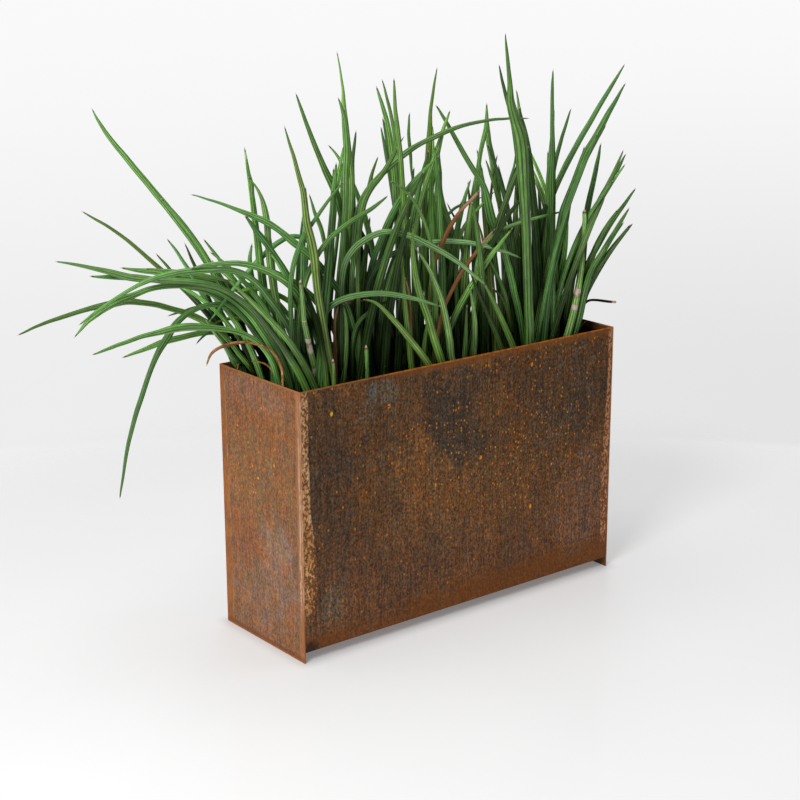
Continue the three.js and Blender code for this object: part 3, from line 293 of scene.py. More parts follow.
@material("weathering_steel_sheet", gain=1.14)
def sheet_steel():
    x, y, z = split(position)
    drift = noise(scale=11, detail=5, rough=0.6) - 0.5
    ripple = noise(scale=42, detail=4, rough=0.62) - 0.5
    broad = noise(scale=6.5, detail=5, rough=0.6, stretch=(1, 1, 0.62), offset=(3.1, 0.4, 1.7))
    colour = ramp(broad, {0.30: "#493626", 0.44: "#553c28", 0.56: "#5e4229", 0.72: "#6b4728"})
    front = fade(y, -0.05, 0.05, 1.0, 0.0)
    fray = noise(scale=150, detail=3, rough=0.7) - 0.5
    wobble = drift * 2.2 + ripple * 1.5 + fray * 1.0
    patch = partial(blob, x, z, wobble)
    # darker at the left, redder and lighter to the right and below
    colour = mix(patch((-0.39, 0.36), (0.09, 0.20)) * front * 0.75, colour, "#47362a")
    colour = mix(fade(z + drift * 0.16, 0.36, 0.12) * 0.62, colour, "#5f402d")
    colour = mix(patch((0.37, 0.17), (0.12, 0.16)) * front * 0.75, colour, "#6e4e3a")
    # dark field right of a slanting edge, warm brown left of it
    slant = fade((z - 0.485) + (x + 0.148) * 1.17 + ripple * 0.07 + fray * 0.05, -0.016, 0.018)
    dark = slant * patch((-0.035, 0.455), (0.15, 0.17)) * front
    colour = mix(dark * 0.85, colour, "#3d352d")
    warm = (1 - slant) * patch((-0.11, 0.36), (0.12, 0.12)) * front
    colour = mix(warm * 0.70, colour, "#6f4e30")
    for patch_colour, strength, centre, radii in FRONT_PATCHES:
        colour = mix(patch(centre, radii) * front * strength, colour, patch_colour)
    stain = blob(x, z, wobble * 0.8, (-0.378, 0.118), (0.036, 0.050), start=0.3, end=1.3)
    colour = mix(stain * front * 0.75, colour, "#63523f")
    # lean blue-grey mill scale
    scale = noise(scale=26, detail=5, rough=0.7, stretch=(1, 1, 0.7), offset=(9, 2, 5))
    grey = fade(scale, 0.54, 0.63) * larger(patch((-0.30, 0.545), (0.10, 0.06)),
                                            patch((0.34, 0.45), (0.12, 0.16)) * 0.7)
    grey = larger(grey, fade(scale, 0.60, 0.70) * 0.55)
    grey = larger(grey, fade(scale, 0.44, 0.58)
                  * blob(x, z, wobble * 0.7, (-0.245, 0.562), (0.085, 0.030)) * front)
    colour = mix(grey * 0.75, colour, "#56524a")
    # speck density: along the slant, the middle and the right
    density = larger(patch((-0.03, 0.42), (0.20, 0.17)), patch((0.22, 0.36), (0.20, 0.24)))
    density = (larger(density, fade(z, 0.50, 0.58) * fade(x, -0.05, 0.05)) * 0.62
               + noise(scale=17, detail=3, rough=0.6) * 0.5 - 0.20)
    density = density * fade(z, 0.10, 0.34, 0.40, 1.0) - fade(x, 0.10, 0.30) * 0.06
    colour, height, grain, mottle = rust_detail(colour, density)
    # band under the rim
    band = fade(z + ripple * 0.010, 0.582, 0.590) * fade(x, -0.30, -0.10) * 0.55
    colour = mix(band, colour, "#7d4a20")
    # orange-brown along the fold
    fold = 0.052 + fade(x + drift * 0.25, -0.25, 0.05) * 0.030 + ripple * 0.06 + drift * 0.05
    fold_colour = shade("#6b3c14", remap(grain, 0.72, 1.30, 0.34, 0.66))
    colour = mix(fade(z - fold, 0.030, -0.030) * 0.80, colour, fold_colour)
    colour = mix(patch((-0.436, 0.032), (0.026, 0.020)) * front * 0.85, colour, "#261a13")
    # ground weld land up both ends
    ragged = noise(scale=150, detail=3, rough=0.65) - 0.5
    left_edge = ((x + 0.447) - 0.0180 - fade(z, 0.40, 0.22) * 0.0085 + ripple * 0.010
                 + ragged * fade(z, 0.45, 0.2) * 0.030)
    left = (fade(left_edge, 0.0012, -0.0012)
            * fade(z + ripple * 0.07 + ragged * 0.09, 0.085, 0.135))
    right_edge = ((0.447 - x) - 0.012 - fade(z, 0.50, 0.25) * 0.010 + ripple * 0.010
                  + ragged * fade(z, 0.4, 0.2) * 0.016)
    right = (fade(right_edge, 0.0012, -0.0012)
             * fade(z + ripple * 0.07 + ragged * 0.09, 0.05, 0.10))
    land = larger(left, right)
    pit = fade(noise(scale=165, detail=4, rough=0.72, stretch=(1, 1, 0.7))
               + fade(z, 0.42, 0.18) * 0.025, 0.485, 0.54)
    bright = mix(fade(x, -0.1, 0.1), mix(fade(z, 0.42, 0.22), "#cfa478", "#c3925e"), "#b98560")
    worn = fade(noise(scale=60, detail=4, rough=0.7, stretch=(1, 1, 0.3)), 0.45, 0.62)
    bright = mix(worn * 0.6, bright, "#9c6230")
    bright = shade(bright, remap(grain, 0.74, 1.22, 0.36, 0.64) * remap(z, 1.06, 0.94, 0.1, 0.6))
    bright = mix(pit * 0.90, bright, "#603417")
    colour = mix(land * 0.92, colour, bright)
    # painted shadow: a dark line along the inner edge of the left weld land
    outline = fade(abs(left_edge), 0.004, 0.0) * fade(z, 0.30, 0.45) * front * 0.5
    colour = mix(outline, colour, "#2a211b")
    # right hand outermost line
    colour = mix(fade(x, 0.4435, 0.4455) * 0.7, colour, "#6b3a1f")
    # cut rim edge
    top = fade(z, 0.5968, 0.5982)
    rim = mix(fade(noise(scale=75, detail=3, rough=0.6), 0.42, 0.60), "#b8641c", "#8b4d1c")
    rim = mix(fade(x, -0.18, -0.36) * 0.7, rim, "#7f5638")
    colour = mix(top * 0.9, colour, rim)
    # inside face
    inside = fade(abs(y), 0.1486, 0.1480) * fade(z, 0.028, 0.031)
    inside_colour = shade(ramp(mottle, INSIDE_STOPS), remap(grain, 0.8, 1.15))
    colour = mix(inside * (1 - top), colour, inside_colour)
    normal = bump(height + land * 0.35 - pit * land * 0.35, distance=0.0009, strength=0.75)
    rough = remap(mottle + (grain - 0.5) * 0.6 - grey * 0.25, 0.56, 0.84, 0.2, 0.8)
    surface(colour, rough, normal, spec=0.16)


# broad patches on the end plates: colour, strength, centre (y, z), radii, fade limits
END_PATCHES = (
    ("#8a7163", 0.80, (-0.050, 0.225), (0.066, 0.100), (0.25, 1.35)),
    ("#85685a", 0.85, (-0.01, 0.12), (0.120, 0.11), (0.3, 1.3)),
    ("#906854", 0.65, (0.0, 0.56), (0.14, 0.04), (0.55, 1.15)),
    ("#7c6044", 0.50, (0.01, 0.37), (0.09, 0.07), (0.55, 1.15)),
    ("#8d5433", 0.35, (0.03, 0.52), (0.07, 0.05), (0.55, 1.15)),
    ("#8c4c2a", 0.40, (0.07, 0.22), (0.04, 0.07), (0.55, 1.15)),
)


@material("weathering_steel_plate", gain=0.93)
def end_steel():
    x, y, z = split(position)
    left = fade(x, -0.1, 0.1, 1.0, 0.0)
    drift = noise(scale=12, detail=5, rough=0.6) - 0.5
    ripple = noise(scale=46, detail=4, rough=0.62) - 0.5
    fray = noise(scale=150, detail=3, rough=0.7) - 0.5
    wobble = drift * 2.6 + ripple * 2.0 + fray * 1.2
    broad = noise(scale=8.5, detail=5, rough=0.6, stretch=(1, 1, 0.55), offset=(1.3, 4.4, 0.7))
    colour = ramp(broad, {0.30: "#785436", 0.46: "#84593a", 0.60: "#8c5f3c", 0.75: "#986538"})
    for patch_colour, strength, centre, radii, limits in END_PATCHES:
        colour = mix(blob(y, z, wobble, centre, radii, *limits) * strength, colour, patch_colour)
    rusty = noise(scale=34, detail=5, rough=0.7, stretch=(1, 1, 0.5), offset=(2.0, 6.0, 1.0))
    colour = mix(fade(rusty, 0.50, 0.62) * 0.38, colour, "#8e5027")
    olive = noise(scale=28, detail=5, rough=0.7, stretch=(1, 1, 0.5), offset=(7.0, 1.0, 3.0))
    colour = mix(fade(olive, 0.50, 0.62) * 0.5, colour, "#735f40")
    density = (blob(y, z, wobble, (0.02, 0.42), (0.13, 0.14)) * 0.86
               + noise(scale=17, detail=3, rough=0.6) * 0.5 - 0.14)
    density = density * fade(z, 0.06, 0.2, 0.4, 1.0)
    colour, height, grain, mottle = rust_detail(
        colour, density + 0.24, contrast=0.68, speck_gain=1.40)
    ragged = noise(scale=150, detail=3, rough=0.65) - 0.5
    # back edge: orange strip with a pale ridge on its inner side
    strip_width = 0.017 + remap(z, 0.012, 0.0, 0.0, 0.6) + ripple * 0.014
    back_edge = (HALF_WIDTH - y) - strip_width
    orange = mix(fade(noise(scale=90, detail=4, rough=0.65, stretch=(1, 1, 0.35)), 0.40, 0.62),
                 "#a9642c", "#8a5430")
    orange = shade(orange, remap(grain, 0.85, 1.12))
    colour = mix(fade(back_edge + fray * 0.012, 0.006, -0.004) * 0.72, colour, orange)
    ridge = (fade(abs(back_edge), 0.0035, 0.0)
             * fade(noise(scale=120, detail=3, rough=0.6, stretch=(1, 1, 0.2)), 0.44, 0.58))
    colour = mix(ridge * 0.45, colour, "#c2976e")
    # front edge: tan strip, pale ridge, ragged lower end
    from_front = y + HALF_WIDTH
    tan = mix(fade(noise(scale=95, detail=4, rough=0.65, stretch=(1, 1, 0.3)), 0.42, 0.62),
              "#a8714a", "#96613c")
    tan = shade(tan, remap(grain, 0.86, 1.12))
    colour = mix(fade(from_front + ripple * 0.010, 0.021, 0.013) * 0.8, colour, tan)
    off_ridge = abs(from_front - 0.0075 - ripple * 0.008 - ragged * fade(z, 0.34, 0.15) * 0.016)
    pale = (fade(off_ridge, 0.0046, 0.0016)
            * fade(z + ripple * 0.08 + ragged * 0.14, 0.09, 0.16) * fade(z, 0.57, 0.36, 0.22, 1.0))
    pale = pale * fade(noise(scale=150, detail=4, rough=0.7, stretch=(1, 1, 0.3)),
                       0.42, 0.54, 0.30, 1.0)
    colour = mix(pale * left * 0.80, colour, "#cba88e")
    corner = blob(y, z, wobble * 0.4, (-0.139, 0.590), (0.018, 0.010))
    colour = mix(corner * 0.7, colour, "#a9663a")
    # rim and foot lines
    colour = mix(fade(z + ripple * 0.004, 0.5935, 0.5965) * 0.6, colour, "#a05f2c")
    colour = mix(fade(z, 0.5975, 0.5985) * 0.6, colour, "#a9744a")
    colour = mix(fade(z + ripple * 0.012, 0.016, 0.009) * 0.55, colour, "#6a3f26")
    colour = mix(fade(z + ripple * 0.004, 0.0055, 0.0035) * 0.8, colour, "#a85f24")
    # cut front and back edges
    cut = fade(abs(y), 0.1485, 0.1492)
    cut_colour = mix(fade(noise(scale=130, detail=3, rough=0.6, stretch=(1, 1, 0.3)), 0.40, 0.60),
                     "#cfa584", "#b57c50")
    cut_colour = mix(fade(z + ragged * 0.1, 0.14, 0.09), cut_colour, "#a06032")
    colour = mix(cut * 0.85, colour, cut_colour)
    # inside face
    inside = fade(abs(x), 0.4482, 0.4475) * (1 - cut)
    colour = mix(inside * fade(z, 0.5985, 0.597), colour, ramp(mottle, INSIDE_STOPS))
    normal = bump(height + pale * 0.5, distance=0.0008, strength=0.7)
    rough = remap(mottle + (grain - 0.5) * 0.6, 0.55, 0.82, 0.2, 0.8)
    surface(colour, rough, normal, spec=0.22)


@material("weathering_steel_fittings", gain=1.2)
def fitting_steel():
    mottle = noise(scale=60, detail=5, rough=0.65)
    grain = noise(scale=420, detail=3, rough=0.6)
    colour = ramp(mottle, {0.32: "#4a3426", 0.52: "#6a4529", 0.70: "#86562a"})
    colour = shade(colour, remap(grain, 0.78, 1.18))
    distance, (pick, _, _) = cells(scale=120)
    specks = fade(distance, 0.10, 0.24, 1.0, 0.0) * fade(pick, 0.80, 0.86)
    colour = mix(specks * 0.8, colour, "#c8741f")
    normal = bump(mottle * 0.6 + grain * 0.5, distance=0.0006, strength=0.8)
    surface(colour, remap(mottle, 0.55, 0.85), normal, spec=0.35)


@material("weld_bead", gain=1.2)
def weld_bead():
    mottle = noise(scale=130, detail=4, rough=0.6)
    grain = noise(scale=700, detail=2, rough=0.5)
    colour = ramp(mottle, {0.32: "#5e4636", 0.5: "#8a6a4e", 0.7: "#a5713c"})
    colour = shade(colour, remap(grain, 0.8, 1.2))
    normal = bump(mottle + grain * 0.4, distance=0.0005, strength=0.8)
    surface(colour, remap(mottle, 0.42, 0.7), normal, metal=0.25, spec=0.4)


# ---------------------------------------------------------------- liner, fittings and fill
@material("black_liner")
def liner_plastic():
    x, y, z = split(position)
    mottle = noise(scale=34, detail=4, rough=0.6)
    grain = noise(scale=1100, detail=2, rough=0.5)
    colour = ramp(mottle, {0.35: "#141312", 0.65: "#1c1a18"})
    # soil dust and water marks inside, near the fill line
    dust = (fade(z + (mottle - 0.5) * 0.05, 0.545, 0.505)
            * fade(noise(scale=180, detail=4, rough=0.65), 0.46, 0.66))
    inside = fade(abs(x), 0.4405, 0.4395) * fade(abs(y), 0.1405, 0.1395)
    colour = mix(dust * inside * 0.7, colour, "#3a2c20")
    scuff = fade(noise(scale=1, detail=4, rough=0.7, stretch=(8, 8, 220)), 0.60, 0.75)
    colour = mix(scuff * 0.25, colour, "#3a3937")
    rough = remap(mottle, 0.36, 0.52) + dust * 0.3 + scuff * 0.1
    normal = bump(grain * 0.7 + mottle * 0.3, distance=0.00025, strength=0.6)
    surface(colour, rough, normal, spec=0.45)


@material("webbing")
def webbing():
    _, y, z = split(position)
    weave = calc("SINE", (y + z) * 2600) * calc("SINE", (y - z) * 2600) * 0.5 + 0.5
    fuzz = noise(scale=900, detail=3, rough=0.6)
    colour = mix(weave, "#101012", "#2b2b2e")
    colour = mix(fade(fuzz, 0.58, 0.75) * 0.3, colour, "#4a4a4c")
    normal = bump(weave + fuzz * 0.5, distance=0.0004, strength=0.8)
    surface(colour, remap(fuzz, 0.75, 0.95), normal, spec=0.25,
            Sheen_Weight=0.3, Sheen_Roughness=0.4)


@material("rivet")
def rivet_metal():
    brushed = noise(scale=40, detail=3, rough=0.6, stretch=(1, 60, 1))
    grain = noise(scale=900, detail=3, rough=0.6)
    colour = ramp(brushed, {0.3: "#8d8d8a", 0.7: "#b9b8b3"})
    normal = bump(grain, distance=0.00008, strength=0.6)
    surface(colour, remap(grain, 0.25, 0.42), normal, metal=1.0)


@material("clay_pebbles")
def pebble_clay():
    mottle = noise(scale=70, detail=4, rough=0.6)
    grain = noise(scale=600, detail=4, rough=0.7)
    colour = ramp(attribute("tone"), {0.1: "#6e3d22", 0.5: "#8a5230", 0.9: "#a8714c"})
    colour = shade(colour, remap(grain, 0.6, 1.25))
    colour = mix(fade(mottle, 0.60, 0.75) * 0.5, colour, "#3e2a20")
    normal = bump(grain + mottle * 0.4, distance=0.0009, strength=0.9)
    surface(colour, 0.92, normal, spec=0.2)


@material("filter_fleece")
def fleece_fibre():
    fibres = larger(noise(scale=1, detail=3, rough=0.7, stretch=(900, 60, 60)),
                    noise(scale=1, detail=3, rough=0.7, stretch=(60, 900, 60)))
    stain = noise(scale=22, detail=4, rough=0.6)
    colour = ramp(fibres, {0.45: "#6f706d", 0.75: "#b0b1ac"})
    colour = mix(fade(stain, 0.5, 0.68) * 0.7, colour, "#5d4c3b")
    surface(colour, 0.95, bump(fibres, distance=0.0006, strength=0.9), spec=0.15)


@material("potting_mix")
def soil():
    mottle = noise(scale=60, detail=6, rough=0.7)
    grain = noise(scale=420, detail=5, rough=0.72)
    distance, (pick, _, _) = cells(scale=160)
    colour = ramp(mottle, {0.3: "#150f0b", 0.5: "#241a12", 0.7: "#3a2a1d"})
    colour = shade(colour, remap(grain, 0.55, 1.4))
    flecks = fade(distance, 0.10, 0.22, 1.0, 0.0) * fade(pick, 0.88, 0.92)
    colour = mix(flecks * 0.7, colour, "#8d8377")
    normal = bump(grain + mottle * 0.8, distance=0.0025, strength=0.9)
    surface(colour, 0.95, normal, spec=0.18)


@material("bark_chips")
def bark():
    grain = noise(scale=220, detail=5, rough=0.7, stretch=(1, 1, 2.5))
    colour = ramp(attribute("tone"), {0.1: "#2a1a10", 0.6: "#553722", 0.95: "#8a6848"})
    colour = shade(colour, remap(grain, 0.5, 1.4))
    surface(colour, 0.9, bump(grain, distance=0.0012, strength=0.9), spec=0.2)


# ---------------------------------------------------------------- plant materials
@material("leaf")
def leaf_skin():
    base = attribute("leafcol", "Color")
    # ring: cosine and sine round the leaf, metres from the base
    cosine, sine, along = split(attribute("ring", "Vector"))
    # zone: metres from the tip, dryness, scar
    from_tip, dry, scar = split(attribute("zone", "Vector"))

    def leaf_grid(around, length):
        return join(cosine * around, sine * around, along * length)

    angle = calc("ARCTAN2", sine, cosine)
    bands = noise(at=leaf_grid(1.4, 26), detail=4, rough=0.6)
    fine = noise(at=leaf_grid(5.5, 30), detail=4, rough=0.65)
    skin = noise(scale=850, detail=3, rough=0.6)
    blotch = noise(scale=62, detail=4, rough=0.62)
    # grooves: dark narrow lines, stronger on some sides
    groove = calc("COSINE", angle * 8.0) * 0.5 + 0.5
    patchy = noise(at=leaf_grid(2.1, 5.0), detail=3, rough=0.6)
    line = fade(groove, 0.52, 0.16) * remap(patchy, 0.30, 1.0, 0.3, 0.56)
    broad = noise(at=leaf_grid(1.9, 2.2), detail=3, rough=0.6)
    colour = shade(base, remap(bands, 0.72, 1.26, 0.25, 0.75) * remap(fine, 0.78, 1.22)
                   * remap(blotch, 0.90, 1.10) * remap(broad, 0.72, 1.30, 0.32, 0.68))
    ridge_colour = shade(colour, (1.16, 1.16, 1.20, 1))
    colour = mix(line * 0.95, ridge_colour, shade(colour, (0.15, 0.20, 0.18, 1)))
    # painted shade: each ring is darkened by how little sky it sees past the other leaves and the
    # trough
    openness = attribute("open")
    colour = shade(colour, remap(openness, 0.05, 1.20, 0.20, 0.78))
    # pale speckle in rows
    distance, (pick, _, _) = cells(at=leaf_grid(3.0, 130), scale=1.0)
    pale = fade(distance, 0.10, 0.22, 1.0, 0.0) * fade(pick, 0.86, 0.92)
    colour = mix(pale * 0.35, colour, "#a9b895")
    # worn bases
    worn = fade(along + (bands - 0.5) * 0.05, 0.055, 0.012)
    colour = mix(worn * 0.55, colour, "#8a8a62")
    # scars: dry cream patches with a brown margin
    scarred = fade(scar + (blotch - 0.5) * 0.9 + (fine - 0.5) * 0.6, 0.50, 0.56)
    margin = fade(scar + (blotch - 0.5) * 0.9 + (fine - 0.5) * 0.6, 0.40, 0.52)
    colour = mix(margin * 0.8, colour, "#7c6a4c")
    colour = mix(scarred, colour, mix(fade(skin, 0.4, 0.62), "#d9cdbd", "#b79c8c"))
    # dry leaves
    straw = ramp(bands, {0.3: "#6e3a26", 0.5: "#8f5236", 0.7: "#b0805a"})
    straw = mix(fade(fine, 0.50, 0.62) * 0.6, straw, "#56301f")
    straw = mix(fade(from_tip + (bands - 0.5) * 0.06, 0.085, 0.015) * 0.75, straw, "#c4a083")
    straw = mix(line * 0.6, straw, "#7d6a2a")
    dried = fade(dry + (bands - 0.5) * 0.5, 0.42, 0.60)
    colour = mix(dried, colour, straw)
    # tips: brown ring, then a pale dry point
    tip = from_tip + (bands - 0.5) * 0.006
    colour = mix(fade(tip, 0.0125, 0.0065) * 0.85, colour, "#4a2c22")
    colour = mix(fade(tip, 0.0062, 0.0035) * 0.9, colour, "#cbb3a2")
    rough = remap(fine, 0.36, 0.52) + larger(dried, scarred) * 0.3
    height = (1 - line) * 0.55 + fine * 0.35 + skin * 0.12 + scarred * 0.6
    green = split(base)[1]
    # dark and hidden leaves shine less
    spec = remap(openness, 0.03, 0.50, 0.22, 0.72) * remap(green, 0.05, 1.0, 0.01, 0.10)
    surface(colour, rough, bump(height, distance=0.0007, strength=0.65), spec=spec)


@material("rhizome")
def rhizome_skin():
    mottle = noise(scale=120, detail=5, rough=0.65)
    grain = noise(scale=380, detail=4, rough=0.7, stretch=(1, 1, 3))
    colour = ramp(mottle, {0.3: "#4c3222", 0.5: "#7c5537", 0.72: "#b08a60"})
    colour = mix(fade(attribute("tone"), 0.5, 0.9) * 0.6, colour, "#c8ae86")
    colour = shade(colour, remap(grain, 0.6, 1.2))
    normal = bump(grain + mottle * 0.5, distance=0.0012, strength=0.8)
    surface(colour, 0.82, normal, spec=0.25)


@material("dry_stalk")
def stalk_straw():
    mottle = noise(scale=90, detail=4, rough=0.6)
    grain = noise(scale=700, detail=3, rough=0.6)
    colour = ramp(mottle, {0.3: "#7b4a2c", 0.5: "#a8713f", 0.7: "#c99c68"})
    surface(colour, 0.7, bump(grain, distance=0.0004, strength=0.8), spec=0.3)


# ---------------------------------------------------------------- mesh helpers
def add_insert(name, mesh, skin, sharp_degrees=None):
    """Link a smooth mesh that rides on the insert."""
    mesh.materials.append(skin)
    mesh.shade_smooth()
    if sharp_degrees:
        mesh.set_sharp_from_angle(angle=math.radians(sharp_degrees))
    made = bpy.data.objects.new(name, mesh)
    scene.collection.objects.link(made)
    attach(made, "insert")
    return made


def add_faces(name, vertices, faces, skin, sharp_degrees=None):
    mesh = bpy.data.meshes.new(name)
    mesh.from_pydata(vertices, [], faces)
    mesh.validate()
    return add_insert(name, mesh, skin, sharp_degrees)


def point_attribute(mesh, name, kind, data):
    made = mesh.attributes.new(name, kind, "POINT")
    key = {"FLOAT_VECTOR": "vector", "FLOAT_COLOR": "color", "FLOAT": "value"}[kind]
    made.data.foreach_set(key, np.asarray(data, np.float32).ravel())


def unit_rows(vectors):
    return vectors / np.linalg.norm(vectors, axis=1)[:, None]


def arc_lengths(points):
    """Distance of each point from the first, along the line."""
    return np.concatenate([[0], np.cumsum(np.linalg.norm(np.diff(points, axis=0), axis=1))])


def soften(values, passes):
    """Smooth values in place, ends kept."""
    for _ in range(passes):
        values[1:-1] = values[1:-1] * 0.5 + (values[:-2] + values[2:]) * 0.25


def smooth_line(points, step):
    """Centripetal Catmull-Rom curve through points, resampled near an even step."""
    padded = np.vstack([2 * points[0] - points[1], points, 2 * points[-1] - points[-2]])
    pieces = []
    for i in range(1, len(padded) - 2):
        four = padded[i - 1:i + 3]
        gaps = [max(np.linalg.norm(four[j + 1] - four[j]), 1e-6) ** 0.5 for j in range(3)]
        t0 = 0.0
        t1 = t0 + gaps[0]
        t2 = t1 + gaps[1]
        t3 = t2 + gaps[2]
        count = max(2, int(np.linalg.norm(four[2] - four[1]) / 0.003))
        t = np.linspace(t1, t2, count, endpoint=False)[:, None]

        def between(a, b, start, end):
            return (end - t) / (end - start) * a + (t - start) / (end - start) * b

        first = between(four[0], four[1], t0, t1)
        second = between(four[1], four[2], t1, t2)
        third = between(four[2], four[3], t2, t3)
        pieces.append(between(between(first, second, t0, t2),
                              between(second, third, t1, t3), t1, t2))
    curve = np.vstack(pieces + [points[-1:]])
    soften(curve, 6)
    arc = arc_lengths(curve)
    u = np.linspace(0, 1, max(3, int(arc[-1] / step) + 1))
    # more rings towards the tip
    u = u * 0.75 + (1 - (1 - u) ** 2) * 0.25
    return np.stack([np.interp(u * arc[-1], arc, curve[:, j]) for j in range(3)], 1)


def frames(centres, up):
    """Frames carried along a curve without twist: tangents, normals (first near up), binormals."""
    tangents = unit_rows(np.gradient(centres, axis=0))
    normals = np.zeros_like(centres)
    normal = up
    for i, tangent in enumerate(tangents):
        normal = normal - tangent * (normal @ tangent)
        normal = normal / np.linalg.norm(normal)
        normals[i] = normal
    return tangents, normals, np.cross(tangents, normals)


def tube_points(centres, normals, binormals, angles, radii, flat=1.0):
    """Rings round centres. angles and radii are given as ring by side."""
    spokes = (normals[:, None] * (np.cos(angles) * flat)[..., None]
              + binormals[:, None] * np.sin(angles)[..., None])
    return (centres[:, None] + spokes * radii[..., None]).reshape(-1, 3).tolist()


def tube_faces(first, rings, sides):
    faces = []
    for i in range(rings - 1):
        low, high = first + i * sides, first + (i + 1) * sides
        for j in range(sides):
            k = (j + 1) % sides
            faces.append((low + j, low + k, high + k, high + j))
    return faces
